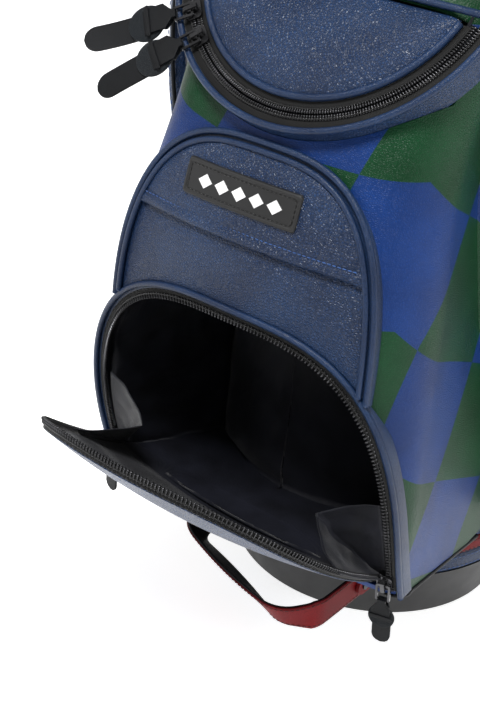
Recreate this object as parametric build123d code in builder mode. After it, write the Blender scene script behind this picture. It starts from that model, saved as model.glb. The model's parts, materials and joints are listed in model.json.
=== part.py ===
from build123d import *
from math import atan, cos, degrees, pi, radians, sin, sqrt
import os

# A golf staff bag.  Millimetres, +Z up, origin at the centre of the base on the floor.
# The ball pocket is at the front (-Y), the apparel pocket on the right (+X) and the
# shoulder strap on the left, turned a little towards the front.

# ---- base and body ----
BASE_R = 131.3              # boot radius at the floor
BOOT_TOP_R = 146.0
BOOT_H = 54.3
BOOT_WALL = 3.6
TUBE_R = 134.0              # outside of the stiff inner tube
TUBE_WALL = 2.5
TUBE_FOOT_Z = 24.0          # the tube stands on a ledge inside the boot
TUBE_TOP_Z = 828.0
SKIN_R = 146.5              # outside of the padded skin
SKIN_TOP_Z = 800.0
RED_BAND_Z = (72.2, 87.0)
CUFF_TOP_Z = 105.0
GAP = 0.4                   # clearance between sewn layers

# ---- front face of the pocket module: a barrel surface ----
BELLY_Y = 260.7             # how far forward the face stands at its fullest height
BELLY_Z = 290.0
FACE_R_UP = 477.0           # radius of the face in a side view
FACE_R_ACROSS = 650.0       # radius of the face in plan, at the belly
FACE_AXIS_Y = FACE_R_ACROSS - BELLY_Y
FACE_HALF_ANGLE = 17.0
SHELL_WALL = 3.0
MODULE_LOW_Z = 102.0        # underside where the module meets the skin
MODULE_FRONT_LOW_Z = 124.4  # underside at the flap's fold
FLOOR_Z = 124.0
MODULE_BACK_Y = -54.5
STRAP_SIDE_BACK_Y = -78.0   # on the left the module stops short of the strap
STRAP_SIDE_SLOPE = 0.385
# height, half width, corner radius and inward slope of the right wall of the plan section
MODULE_LEVELS = [(102, 155, 14, 0.08), (124, 155, 14, 0.08), (170, 156, 22, 0.09), (230, 156, 40, 0.14),
                 (300, 155, 52, 0.22), (360, 151.5, 54, 0.27), (410, 144, 54, 0.29), (450, 139, 54, 0.3),
                 (500, 137, 50, 0.31), (550, 136, 46, 0.3), (590, 120, 34, 0.2), (635, 90, 16, 0.0)]

# ---- ball pocket opening ----
BALL_HALF_W = 144.2         # centre line of the zip
BALL_LOW_Z = 128.7
BALL_H = 194.9
BALL_POWER = 3.06           # squareness of the arched outline
CHAIN_GAP = 1.3             # half of the gap between the two rows of teeth
COIL_W = 3.7
TAPE_EDGE = 9.0
FLAP_OPEN = 42.06           # the flap hangs open by this angle, in degrees
FLAP_HINGE_Y = -224.6
FLAP_LOW_Z = 133.0
FLAP_ZIP_Z = 158.0          # the flap's teeth start above the parked sliders

# ---- arched slip pocket above it ----
ARCH_HALF_W = 115.5
ARCH_TOP_Z = 451.8
ARCH_LOW_Z = 262.0
ARCH_POWER = 3.02
HEM_Z = 387.8

# ---- domed upper pocket: a round zip in a plane leaning back ----
DOME_TILT = 35.76
DOME_HINGE = (0, -170.4, 561.9)
DOME_R = 123.94             # centre line of the zip
DOME_RISE = 26.15           # the circle's centre lies this far above the hinge line
DOME_RIM_R = 136.0
DOME_FLAP_R = 112.0
DOME_CROWN = 9.0

# ---- apparel pocket ----
SIDE_X = 192.0
SIDE_LOW_Z = 118.0
SIDE_TOP_Z = 690.0
SIDE_ZIP_Y = 8.0
SIDE_ZIP_Z = (SIDE_LOW_Z + 42, SIDE_TOP_Z - 40)

# ---- collar ----
COLLAR_TILT = 8.0
COLLAR_Z = 862.0            # height of the rim at the bag's axis
COLLAR_R = 153.0
MOUTH_R = 124.0
DIVIDER_Z = (806.0, 824.0)
DIVIDER_IN_R = 119.0
CELL_Y = 42.0               # the cross bars stand this far either side of the middle
BAR_W = 7.0
SHEET_W = 1.6

# ---- strap side ----
STRAP_ANGLE = 206.0
SWIVEL_OUT = 168.0          # distance of the strap's swing axis from the bag's axis
STRAP_BOW = 52.0            # how far the strap stands out from that axis at mid height
HOOK_Z = (213.0, 767.0)
HANDLE_Z = (425.0, 575.0)
HANDLE_AXIS_OUT = 158.0
HANDLE_REACH = 34.0         # the grip stands out this far from its axis at mid height
PAD_Z = (300.0, 680.0)

# ---- lift handle, towel ring and umbrella holder ----
LIFT_AXIS = (-139.5, 56.0)  # y and z of the lift handle's pivots
LIFT_HALF_W = 80.0
LIFT_STRAP = (28.0, 2.8)    # width and thickness
TOWEL_AXIS = (0.0, -158.6, 742.0)
UMBRELLA_ANGLE = 128.0
UMBRELLA_OUT = 174.5        # distance of the umbrella's shaft from the bag's axis
UMBRELLA_R = (18.4, 21.0)
UMBRELLA_LOOP_Z = (700.0, 722.0)
UMBRELLA_SLEEVE_Z = (150.0, 320.0)

os.makedirs("parts", exist_ok=True)


def write(builder, name):
    """Label a finished piece and write it as its own STEP file."""
    builder.part.label = name
    export_step(builder.part, f"parts/{name}.step")


# ------------------------------------------------------------------ shared geometry
def face_sag(z):
    """How far the front face has fallen back at height z."""
    return FACE_R_UP - sqrt(FACE_R_UP**2 - (z - BELLY_Z) ** 2)


def face_y(x, z):
    """Y of the front face."""
    reach = FACE_R_ACROSS - face_sag(z)
    return FACE_AXIS_Y - sqrt(reach**2 - x**2)


def level_at(z):
    """Half width, corner radius and side slope of the module at height z."""
    if z <= MODULE_LEVELS[0][0]:
        return MODULE_LEVELS[0][1:]
    for (z0, *lower), (z1, *upper) in zip(MODULE_LEVELS, MODULE_LEVELS[1:]):
        if z0 <= z <= z1:
            part_way = (z - z0) / (z1 - z0)
            return tuple(a + (b - a) * part_way for a, b in zip(lower, upper))
    return MODULE_LEVELS[-1][1:]


def module_solid(inset, low, high, back_r):
    """The module's volume, drawn in by inset, in front of a cylinder of radius back_r."""
    heights = [low] + [level[0] for level in MODULE_LEVELS if low + 12 < level[0] < high - 12] + [high]
    with BuildPart() as block:
        for z in heights:
            half, corner, slope = level_at(z)
            half -= inset
            front = face_y(0, z) + inset
            shoulder = face_y(half, z) + inset
            right = half - slope * (MODULE_BACK_Y - shoulder)
            left = half - STRAP_SIDE_SLOPE * (STRAP_SIDE_BACK_Y - shoulder)
            with BuildSketch(Plane.XY.offset(z)):
                with BuildLine():
                    ThreePointArc((-half, shoulder), (0, front), (half, shoulder))
                    Polyline((half, shoulder), (right, MODULE_BACK_Y),
                             (-left, STRAP_SIDE_BACK_Y), (-half, shoulder))
                make_face()
                fronts = [v for v in vertices() if v.Y < STRAP_SIDE_BACK_Y - 1]
                fillet(fronts, max(corner - inset, 6))
        loft()
        with BuildSketch(Plane.XY.offset(low - 5)):
            Circle(back_r)
        extrude(amount=high - low + 10, mode=Mode.SUBTRACT)
    return block.part


def face_layer(low, high, z_low=105.0, z_high=600.0):
    """A layer of the front face between two offsets, outwards positive."""
    half = radians(FACE_HALF_ANGLE)
    plane = Plane(origin=(0, FACE_AXIS_Y, 0), x_dir=(-sin(half), -cos(half), 0),
                  z_dir=(-cos(half), sin(half), 0))
    centre = FACE_R_ACROSS - FACE_R_UP

    def point(radius, z):
        return (centre + sqrt(radius**2 - (z - BELLY_Z) ** 2), z)

    with BuildPart() as layer:
        with BuildSketch(plane):
            with BuildLine():
                inner, outer = FACE_R_UP + low, FACE_R_UP + high
                ThreePointArc(point(outer, z_low), point(outer, BELLY_Z), point(outer, z_high))
                Line(point(outer, z_high), point(inner, z_high))
                ThreePointArc(point(inner, z_high), point(inner, BELLY_Z), point(inner, z_low))
                Line(point(inner, z_low), point(outer, z_low))
            make_face()
        revolve(axis=Axis((0, FACE_AXIS_Y, 0), (0, 0, 1)), revolution_arc=2 * FACE_HALF_ANGLE)
    return layer.part


def arch_prism(half, top, low, foot, power, steps=18):
    """A prism through the front face: an arched outline of superellipse form.

    The outline springs from low; the prism goes down to foot.
    """
    rise = top - low
    points = []
    for i in range(steps + 1):
        turn = pi * i / steps
        side = 1 if turn <= pi / 2 else -1
        points.append((side * half * abs(cos(turn)) ** (2 / power),
                       low + rise * sin(turn) ** (2 / power) if 0 < i < steps else low))
    with BuildPart() as prism:
        with BuildSketch(Plane.XZ.offset(120)):
            with BuildLine():
                Spline(*points, tangents=[(0, 1), (0, -1)])
                if foot < low:
                    Polyline((-half, low), (-half, foot), (half, foot), (half, low))
                else:
                    Line((-half, low), (half, low))
            make_face()
        extrude(amount=170)
        if foot > low:
            with BuildSketch(Plane.XY.offset(low - 5)):
                with Locations((0, -205)):
                    Rectangle(2 * half + 20, 200)
            extrude(amount=foot - low + 5, mode=Mode.SUBTRACT)
    return prism.part


def ball_prism(offset, foot=BALL_LOW_Z):
    """The ball pocket's outline, drawn outwards by offset."""
    return arch_prism(BALL_HALF_W + offset, BALL_LOW_Z + BALL_H + offset, BALL_LOW_Z, foot,
                      BALL_POWER)


def slip_prism(offset, foot=ARCH_LOW_Z):
    """The slip pocket's outline, drawn outwards by offset."""
    return arch_prism(ARCH_HALF_W + offset, ARCH_TOP_Z + offset, ARCH_LOW_Z, foot, ARCH_POWER)


def ring(inner, outer, low, high):
    """A plain upright ring."""
    with BuildPart() as band:
        with BuildSketch(Plane.XY.offset(low)):
            Circle(outer)
            Circle(inner, mode=Mode.SUBTRACT)
        extrude(amount=high - low)
    return band.part


# ------------------------------------------------------------------ base
with BuildPart() as boot:
    rise = (BOOT_TOP_R - BASE_R) / BOOT_H
    ledge_r = BASE_R + rise * TUBE_FOOT_Z - BOOT_WALL - 6
    with BuildSketch(Plane.XZ):
        with BuildLine():
            Polyline((0, 0), (BASE_R, 0), (BOOT_TOP_R, BOOT_H), (TUBE_R + GAP, BOOT_H),
                     (TUBE_R + GAP, TUBE_FOOT_Z), (ledge_r, TUBE_FOOT_Z), (ledge_r, 8), (0, 8), (0, 0))
        make_face()
    revolve(axis=Axis.Z)
write(boot, "base_boot")

with BuildPart() as board:
    with BuildSketch(Plane.XY.offset(8 + GAP)):
        Circle(ledge_r - 1)
    extrude(amount=8)
write(board, "bottom_board")

with BuildPart() as tube:
    add(ring(TUBE_R - TUBE_WALL, TUBE_R, TUBE_FOOT_Z + 0.1, TUBE_TOP_Z))
write(tube, "body_tube")

with BuildPart() as skin:
    add(ring(TUBE_R + GAP, SKIN_R, CUFF_TOP_Z + 0.2, SKIN_TOP_Z))
write(skin, "body_skin")


def cuff(low, high, radius):
    """A padded band round the foot of the bag, its outer edges chamfered."""
    with BuildPart() as band:
        add(ring(TUBE_R + GAP, radius, low, high))
        chamfer(band.edges().filter_by(GeomType.CIRCLE).sort_by(SortBy.RADIUS)[-2:], 1)
    return band.part


with BuildPart() as navy_bands:
    add(cuff(BOOT_H + 0.2, RED_BAND_Z[0] - 0.2, SKIN_R))
    add(cuff(RED_BAND_Z[1] + 0.2, CUFF_TOP_Z, SKIN_R))
write(navy_bands, "cuff_navy_bands")

with BuildPart() as red_band:
    add(cuff(*RED_BAND_Z, SKIN_R + 0.8))
write(red_band, "cuff_red_band")

# ------------------------------------------------------------------ pocket module
dome_plane = Plane(origin=DOME_HINGE, x_dir=(1, 0, 0),
                   z_dir=(0, -cos(radians(DOME_TILT)), sin(radians(DOME_TILT))))


def dome_disc(radius, low, high, cut=0.0):
    """A disc on the dome's plane, cut off along the hinge line; cut moves that line down."""
    with BuildPart() as disc:
        with BuildSketch(dome_plane.offset(low)):
            with Locations((0, DOME_RISE)):
                Circle(radius)
            with Locations((0, radius - cut)):
                Rectangle(2 * radius + 2, 2 * radius, mode=Mode.SUBTRACT)
        extrude(amount=high - low)
    return disc.part


back_r = SKIN_R + 0.5
underside_slope = degrees(atan((MODULE_FRONT_LOW_Z - MODULE_LOW_Z) / (-FLAP_HINGE_Y - 96)))
underside = Plane(origin=(0, FLAP_HINGE_Y, MODULE_FRONT_LOW_Z), x_dir=(1, 0, 0),
                  z_dir=(0, sin(radians(underside_slope)), cos(radians(underside_slope))))


def below_underside(depth):
    """Everything under the module's sloping underside, raised by depth."""
    with BuildPart() as block:
        with BuildSketch(underside.offset(depth)):
            with Locations((0, 60)):
                Rectangle(400, 200)
        extrude(amount=-80)
    return block.part


with BuildPart() as shell:
    add(module_solid(0, MODULE_LOW_Z, MODULE_LEVELS[-1][0], back_r))
    add(below_underside(0), mode=Mode.SUBTRACT)
    add(module_solid(SHELL_WALL, FLOOR_Z + SHELL_WALL, 448, back_r + SHELL_WALL),
        mode=Mode.SUBTRACT)
    add(module_solid(SHELL_WALL, 462, 578, back_r + SHELL_WALL), mode=Mode.SUBTRACT)
    with BuildPart(mode=Mode.PRIVATE) as ball_hole:
        add(ball_prism(TAPE_EDGE + 0.4))
        with BuildSketch(Plane.XY.offset(100)):
            with Locations((0, -100)):
                Rectangle(400, 196)
        extrude(amount=300, mode=Mode.SUBTRACT)
    add(ball_hole.part, mode=Mode.SUBTRACT)
    # the floor stops short of the flap's fold
    with BuildSketch(Plane.XY.offset(FLOOR_Z - 10)):
        with Locations((0, FLAP_HINGE_Y - 48)):
            Rectangle(2 * (BALL_HALF_W + 6), 100)
    extrude(amount=BALL_LOW_Z - FLOOR_Z + 12, mode=Mode.SUBTRACT)
    add(dome_disc(DOME_RIM_R + 2.9, -24, 40), mode=Mode.SUBTRACT)
    add(dome_disc(DOME_RIM_R + 14, 0.2, 40, cut=-12), mode=Mode.SUBTRACT)
write(shell, "pocket_shell")

with BuildPart() as lining:
    add(module_solid(SHELL_WALL + 0.5, FLOOR_Z + SHELL_WALL + 0.5, 446, back_r + SHELL_WALL + 0.5))
    add(module_solid(SHELL_WALL + 1.7, FLOOR_Z + SHELL_WALL + 1.7, 444, back_r + SHELL_WALL + 1.7),
        mode=Mode.SUBTRACT)
    with BuildSketch(Plane.XZ.offset(SKIN_R + 40)):
        with Locations((0, BALL_LOW_Z + 100)):
            Rectangle(2 * BALL_HALF_W + 30, 240)
    extrude(amount=150, mode=Mode.SUBTRACT)
write(lining, "ball_pocket_lining")

with BuildPart() as zip_body:
    add(face_layer(-1.6, -0.6, z_high=400))
    add(ball_prism(TAPE_EDGE, foot=BALL_LOW_Z + 2), mode=Mode.INTERSECT)
    add(ball_prism(CHAIN_GAP + COIL_W - 0.6), mode=Mode.SUBTRACT)
    with BuildPart(mode=Mode.PRIVATE) as coil:
        add(face_layer(-2.9, 0.7, z_high=400))
        add(ball_prism(CHAIN_GAP + COIL_W, foot=BALL_LOW_Z + 2), mode=Mode.INTERSECT)
        add(ball_prism(CHAIN_GAP), mode=Mode.SUBTRACT)
    add(coil.part)
write(zip_body, "ball_zip_body")


def piping(prism_outer, prism_inner, low, high):
    """A raised cord of piping between two outlines on the front face."""
    with BuildPart() as cord:
        add(face_layer(low, high))
        add(prism_outer, mode=Mode.INTERSECT)
        add(prism_inner, mode=Mode.SUBTRACT)
    return cord.part


with BuildPart() as slip_lower:
    add(face_layer(0.4, 2.4))
    add(slip_prism(-1), mode=Mode.INTERSECT)
    add(ball_prism(TAPE_EDGE + 6.2, foot=BALL_LOW_Z - 20), mode=Mode.SUBTRACT)
    with BuildSketch(Plane.XY.offset(HEM_Z + 12)):
        with Locations((0, -220)):
            Rectangle(400, 200)
    extrude(amount=200, mode=Mode.SUBTRACT)
write(slip_lower, "slip_pocket_lower_panel")

with BuildPart() as slip_upper:
    add(face_layer(2.8, 5.6))
    add(slip_prism(-1), mode=Mode.INTERSECT)
    with BuildSketch(Plane.XY.offset(HEM_Z)):
        with Locations((0, -220)):
            Rectangle(400, 200)
    extrude(amount=-200, mode=Mode.SUBTRACT)
write(slip_upper, "slip_pocket_upper_panel")

with BuildPart() as pipings:
    add(piping(ball_prism(TAPE_EDGE + 5.6), ball_prism(TAPE_EDGE + 0.8), 0.4, 4.0))
    with BuildPart(mode=Mode.PRIVATE) as slip_piping:
        add(piping(slip_prism(3.4), slip_prism(-0.6), 0.4, 5.8))
        add(piping(slip_prism(9.4), slip_prism(4.6), 0.4, 4.6))
        add(ball_prism(TAPE_EDGE + 6.2, foot=BALL_LOW_Z - 20), mode=Mode.SUBTRACT)
    add(slip_piping.part)
write(pipings, "pocket_pipings")

with BuildPart() as label_patch:
    with BuildSketch(Plane.XZ.offset(200)):
        with Locations((-7, 422)):
            RectangleRounded(104, 26, 1.5)
    extrude(amount=60)
    add(face_layer(5.9, 8.1), mode=Mode.INTERSECT)
write(label_patch, "label_patch")

# ------------------------------------------------------------------ ball pocket flap, hanging open
flap_axis = Axis((0, FLAP_HINGE_Y, BALL_LOW_Z), (1, 0, 0))


def opened(solid):
    """Turn a piece of the closed flap to where it hangs open."""
    return solid.rotate(flap_axis, FLAP_OPEN)


def flap_layer(low, high, offset, foot=FLAP_LOW_Z):
    """A layer of the closed flap inside the outline at the given offset."""
    with BuildPart() as layer:
        add(face_layer(low, high, z_high=400))
        add(ball_prism(offset, foot=foot), mode=Mode.INTERSECT)
    return layer.part


with BuildPart() as flap_panel:
    add(opened(flap_layer(-2.4, 0, -TAPE_EDGE - 0.4)))
write(flap_panel, "ball_flap_panel")

with BuildPart() as flap_lining:
    add(opened(flap_layer(-4.2, -2.8, -TAPE_EDGE - 2)))
write(flap_lining, "ball_flap_lining")

with BuildPart() as closed_zip:
    add(flap_layer(-1.6, -0.6, -CHAIN_GAP - COIL_W + 0.6, FLAP_ZIP_Z))
    add(ball_prism(-TAPE_EDGE, foot=FLAP_LOW_Z - 8), mode=Mode.SUBTRACT)
    with BuildPart(mode=Mode.PRIVATE) as closed_coil:
        add(flap_layer(-2.9, 0.7, -CHAIN_GAP, FLAP_ZIP_Z))
        add(ball_prism(-CHAIN_GAP - COIL_W, foot=FLAP_LOW_Z - 8), mode=Mode.SUBTRACT)
    add(closed_coil.part)
with BuildPart() as zip_flap:
    add(opened(closed_zip.part))
write(zip_flap, "ball_zip_flap")

# folded side gussets between the flap and the pocket's mouth
with BuildPart() as gussets:
    turn = radians(FLAP_OPEN)
    reach = 92.0
    with BuildSketch(Plane.YZ.offset(BALL_HALF_W - 17)):
        with BuildLine():
            root_y, root_z = FLAP_HINGE_Y + 9, BALL_LOW_Z + 9
            Polyline((root_y, root_z), (root_y - 10, root_z + reach),
                     (root_y - reach * 0.42, root_z + reach * 0.72),
                     (root_y - reach * sin(turn) + 2, root_z + reach * cos(turn) + 4), (root_y, root_z))
        make_face()
    extrude(amount=1.4)
    mirror(about=Plane.YZ)
write(gussets, "ball_flap_gussets")


# ------------------------------------------------------------------ zip sliders and pullers
def slider_on(place, low, high, bridge_across, post_w=1.4, plate_w=13.0, plate_l=15.0):
    """A slider: plates above and below the chain, a post between, a bridge on top.

    place has its x axis across the chain, its y axis along it and z outwards.  The
    bridge runs along the chain, or across it where bridge_across is true.
    """
    bridge_x = place.y_dir if bridge_across else place.x_dir
    bridge = Plane(origin=place.origin, x_dir=bridge_x, z_dir=place.z_dir)
    with BuildPart() as slider:
        for level in (high, low - 1.6):
            with BuildSketch(place.offset(level)):
                RectangleRounded(plate_w, plate_l, 3)
            extrude(amount=1.6)
        with BuildSketch(place.offset(low - 0.5)):
            SlotOverall(5, post_w, rotation=90)
        extrude(amount=high - low + 1)
        with BuildSketch(bridge.offset(high + 1)):
            with Locations((0, 4.4), (0, -4.4)):
                Rectangle(3.4, 1.6)
        extrude(amount=5.4)
        with BuildSketch(bridge.offset(high + 5.4)):
            RectangleRounded(3.4, 10.4, 0.7)
        extrude(amount=1.5)
    return slider.part


def puller_on(place, high, hang, length, wide):
    """A puller's metal loop and its leather tab, and the point that they swing about.

    The puller lies along the place's x axis and is turned by hang degrees about the
    bridge's bar, which runs along the place's y axis.
    """
    eye = place.offset(high + 3.4)
    loop_l, loop_w, wire = 16.0, 12.0, 1.8
    with BuildPart() as loop:
        with BuildSketch(eye.offset(-wire / 2)):
            with Locations((loop_l / 2 - wire / 2, 0)):
                RectangleRounded(loop_l, loop_w, 1.8)
                RectangleRounded(loop_l - 2 * wire, loop_w - 2 * wire, 0.8, mode=Mode.SUBTRACT)
        extrude(amount=wire)
    with BuildPart() as tab:
        start = loop_l - wire / 2 - 4.6
        neck = loop_w - 2 * wire - 1.4
        with BuildSketch(eye.offset(-2.6)):
            with Locations((start, 0)):
                Rectangle(22, neck, align=(Align.MIN, Align.CENTER))
            with Locations((start + 26, 0)):
                Circle(wide * 0.66)
            with Locations((start + 18, 0)):
                Rectangle(length - 18 - wide / 2, wide, align=(Align.MIN, Align.CENTER))
            with Locations((start + length - wide / 2, 0)):
                Circle(wide / 2)
        extrude(amount=5.2)
        with BuildSketch(eye.offset(-1.4)):
            with Locations((loop_l - wire, 0)):
                Rectangle(wire + 1.0, loop_w + 2)
        extrude(amount=2.8, mode=Mode.SUBTRACT)
    pivot = Axis(eye.origin, eye.y_dir)
    return loop.part.rotate(pivot, hang), tab.part.rotate(pivot, hang), eye.origin


def write_puller(pieces, name):
    """Write a puller's loop and leather tab as two nodes, and print its pivot."""
    loop, tab, eye = pieces
    with BuildPart() as loop_part:
        add(loop)
    write(loop_part, name + "_loop")
    with BuildPart() as tab_part:
        add(tab)
    write(tab_part, name + "_leather")
    print(name, "swings about", [round(v, 2) for v in eye])


ball_slide_z = (BALL_LOW_Z + 11.0, BALL_LOW_Z + 41.0)
for name, side in (("left", -1), ("right", 1)):
    x = side * BALL_HALF_W
    foot = Vector(x, face_y(x, ball_slide_z[0]), ball_slide_z[0])
    head = Vector(x, face_y(x, ball_slide_z[1]), ball_slide_z[1])
    along = (head - foot).normalized()
    lean = atan(x / FACE_R_ACROSS)
    outward = Vector(sin(lean), -cos(lean), 0)
    outward = (outward - along * outward.dot(along)).normalized()
    place = Plane(origin=foot, x_dir=along.cross(outward), z_dir=outward)
    print("ball slider", name, "at", [round(v, 2) for v in foot], "moves along",
          [round(v, 5) for v in along])
    with BuildPart() as ball_slider:
        add(slider_on(place, -3.7, 1.5, False))
    write(ball_slider, f"ball_slider_{name}")
    down = Plane(origin=foot, x_dir=-along, z_dir=outward)
    write_puller(puller_on(down, 1.5, -14, 58, 15), f"ball_puller_{name}")

# ------------------------------------------------------------------ dome pocket
with BuildPart() as rim:
    add(dome_disc(DOME_RIM_R + 2.5, -22, -0.4, cut=2))
    add(dome_disc(DOME_RIM_R - 0.5, -30, 5), mode=Mode.SUBTRACT)
write(rim, "dome_rim")

with BuildPart() as dome_zip_body:
    add(dome_disc(DOME_RIM_R - 1.8, -0.5, 0.5, cut=3))
    add(dome_disc(DOME_R + CHAIN_GAP + COIL_W - 0.6, -4, 4), mode=Mode.SUBTRACT)
    with BuildPart(mode=Mode.PRIVATE) as dome_coil:
        add(dome_disc(DOME_R + CHAIN_GAP + COIL_W, -1.8, 1.8, cut=3))
        add(dome_disc(DOME_R + CHAIN_GAP, -5, 5), mode=Mode.SUBTRACT)
    add(dome_coil.part)
write(dome_zip_body, "dome_zip_body")

with BuildPart() as dome_zip_flap:
    add(dome_disc(DOME_R - CHAIN_GAP - COIL_W + 0.6, -0.5, 0.5, cut=6))
    add(dome_disc(DOME_FLAP_R + 2.4, -4, 4), mode=Mode.SUBTRACT)
    with BuildPart(mode=Mode.PRIVATE) as dome_flap_coil:
        add(dome_disc(DOME_R - CHAIN_GAP, -1.8, 1.8, cut=6))
        add(dome_disc(DOME_R - CHAIN_GAP - COIL_W, -5, 5), mode=Mode.SUBTRACT)
    add(dome_flap_coil.part)
write(dome_zip_flap, "dome_zip_flap")


def dome_arc(radius, lift, thick, cut):
    """A round cord of piping on the dome's plane, as a ring of square section with soft edges."""
    with BuildPart() as cord:
        add(dome_disc(radius + thick / 2, lift, lift + thick, cut))
        add(dome_disc(radius - thick / 2, lift - 1, lift + thick + 1), mode=Mode.SUBTRACT)
    return cord.part


with BuildPart() as dome_pipings:
    add(dome_arc(DOME_RIM_R + 0.5, 0.4, 3.4, 2))
    with BuildSketch(dome_plane.offset(0.6)):
        with Locations((0, 3.2)):
            SlotOverall(2 * DOME_RIM_R - 8, 5)
    extrude(amount=4)
write(dome_pipings, "dome_pipings")

with BuildPart() as flap_piping:
    add(dome_arc(DOME_FLAP_R + 0.2, 0.6, 4.2, 6))
write(flap_piping, "dome_flap_piping")

with BuildPart() as dome_flap:
    with BuildSketch(dome_plane.offset(-1.4)):
        with Locations((0, DOME_RISE)):
            Circle(DOME_FLAP_R - 2.4)
        with Locations((0, DOME_FLAP_R - 6)):
            Rectangle(2 * DOME_FLAP_R, 2 * DOME_FLAP_R, mode=Mode.SUBTRACT)
    extrude(amount=2.4)
    with BuildSketch(dome_plane.offset(1.0)):
        with Locations((0, DOME_RISE)):
            Circle(DOME_FLAP_R - 2.4)
        with Locations((0, DOME_FLAP_R - 6)):
            Rectangle(2 * DOME_FLAP_R, 2 * DOME_FLAP_R, mode=Mode.SUBTRACT)
    extrude(amount=DOME_CROWN - 1, taper=50)
write(dome_flap, "dome_flap_panel")

dome_centre = dome_plane.from_local_coords(Vector(0, DOME_RISE, 0))
print("dome sliders turn about", [round(v, 3) for v in dome_centre], "axis",
      [round(v, 5) for v in dome_plane.z_dir])
for name, turn in (("left", 144.0), ("right", 133.0)):
    # angles run round the circle from +x, so the lower half of the plane is negative
    out = dome_plane.x_dir * cos(radians(turn)) - dome_plane.y_dir * sin(radians(turn))
    at = dome_centre + out * DOME_R
    place = Plane(origin=at, x_dir=out, z_dir=dome_plane.z_dir)
    with BuildPart() as dome_slider:
        add(slider_on(place, -2.5, 2.5, True))
    write(dome_slider, f"dome_slider_{name}")
    write_puller(puller_on(place, 2.5, -5, 88, 17), f"dome_puller_{name}")

# ------------------------------------------------------------------ apparel pocket on the right side
def side_solid(inset, low, high):
    """The side pocket's volume, drawn in by inset, outside a cylinder against the skin."""
    with BuildPart() as block:
        with BuildSketch(Plane.XY.offset(low)):
            with BuildLine():
                Polyline((120, -52 + inset), (166 - inset, -50 + inset), (SIDE_X - inset, -22 + inset),
                         (SIDE_X - inset, 66 - inset), (150 - inset, 108 - inset), (80, 128 - inset),
                         (20, 40), (120, -52 + inset))
            make_face()
            outer = [v for v in vertices() if v.X > 125]
            fillet(outer, 16 - inset)
        extrude(amount=high - low)
        with BuildSketch(Plane.XY.offset(low - 1)):
            Circle(SKIN_R + 0.5 + inset)
        extrude(amount=high - low + 2, mode=Mode.SUBTRACT)
    return block.part


with BuildPart() as side_shell:
    add(side_solid(0, SIDE_LOW_Z, SIDE_TOP_Z))
    outer_rims = side_shell.edges().filter_by(lambda e: e.center().X > SIDE_X - 2).group_by(Axis.Z)
    fillet(outer_rims[0] + outer_rims[-1], 16)
    add(side_solid(SHELL_WALL, SIDE_LOW_Z + 14, SIDE_TOP_Z - 14), mode=Mode.SUBTRACT)
    with BuildSketch(Plane.YZ.offset(SIDE_X - 12)):
        with Locations((SIDE_ZIP_Y, sum(SIDE_ZIP_Z) / 2)):
            SlotOverall(SIDE_ZIP_Z[1] - SIDE_ZIP_Z[0] + 8, 18.6, rotation=90)
    extrude(amount=20, mode=Mode.SUBTRACT)
write(side_shell, "side_pocket_shell")

with BuildPart() as side_zip:
    span = SIDE_ZIP_Z[1] - SIDE_ZIP_Z[0] - 12
    for side in (-1, 1):
        with BuildSketch(Plane.YZ.offset(SIDE_X - 2.5)):
            with Locations((SIDE_ZIP_Y + side * (CHAIN_GAP + COIL_W / 2 + TAPE_EDGE) / 2,
                            sum(SIDE_ZIP_Z) / 2)):
                Rectangle(TAPE_EDGE - CHAIN_GAP - COIL_W / 2, span)
        extrude(amount=1)
        with BuildSketch(Plane.YZ.offset(SIDE_X - 3.8)):
            with Locations((SIDE_ZIP_Y + side * (CHAIN_GAP + COIL_W / 2), sum(SIDE_ZIP_Z) / 2)):
                Rectangle(COIL_W, span)
        extrude(amount=3.6)
write(side_zip, "side_zip")

side_top = Vector(SIDE_X - 2, SIDE_ZIP_Y, SIDE_ZIP_Z[1] - 20)
side_place = Plane(origin=side_top, x_dir=(0, 1, 0), z_dir=(1, 0, 0))
with BuildPart() as side_slider:
    add(slider_on(side_place, -2.5, 2.5, False))
write(side_slider, "side_slider")
side_down = Plane(origin=side_top, x_dir=(0, 0, -1), z_dir=(1, 0, 0))
side_loop, side_tab, side_eye = puller_on(side_down, 2.5, 0, 62, 15)
with BuildPart() as side_puller:
    add(side_loop)
    add(side_tab)
write(side_puller, "side_puller")
print("side puller swings about", [round(v, 2) for v in side_eye])

# ------------------------------------------------------------------ collar and dividers
rim_plane = Plane(origin=(0, 0, COLLAR_Z), x_dir=(1, 0, 0),
                  z_dir=(0, -sin(radians(COLLAR_TILT)), cos(radians(COLLAR_TILT))))
with BuildPart() as collar:
    add(ring(TUBE_R + GAP, COLLAR_R - 1, SKIN_TOP_Z + 0.4, 940))
    with BuildSketch(rim_plane.offset(-8)):
        Rectangle(500, 500)
    extrude(amount=200, mode=Mode.SUBTRACT)
    outer = collar.edges().filter_by(lambda e: e.length > 2 * pi * (COLLAR_R - 4))
    fillet(outer, 6)
write(collar, "collar_pad")

with BuildPart() as rim_moulding:
    with BuildSketch(rim_plane.offset(-7.6)):
        Circle(COLLAR_R)
        Circle(MOUTH_R, mode=Mode.SUBTRACT)
    extrude(amount=14)
    fillet(rim_moulding.edges().group_by(SortBy.LENGTH)[-1] + rim_moulding.faces()
           .sort_by(Axis((0, 0, 0), rim_plane.z_dir))[-1].edges(), 5)
write(rim_moulding, "collar_rim")

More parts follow.
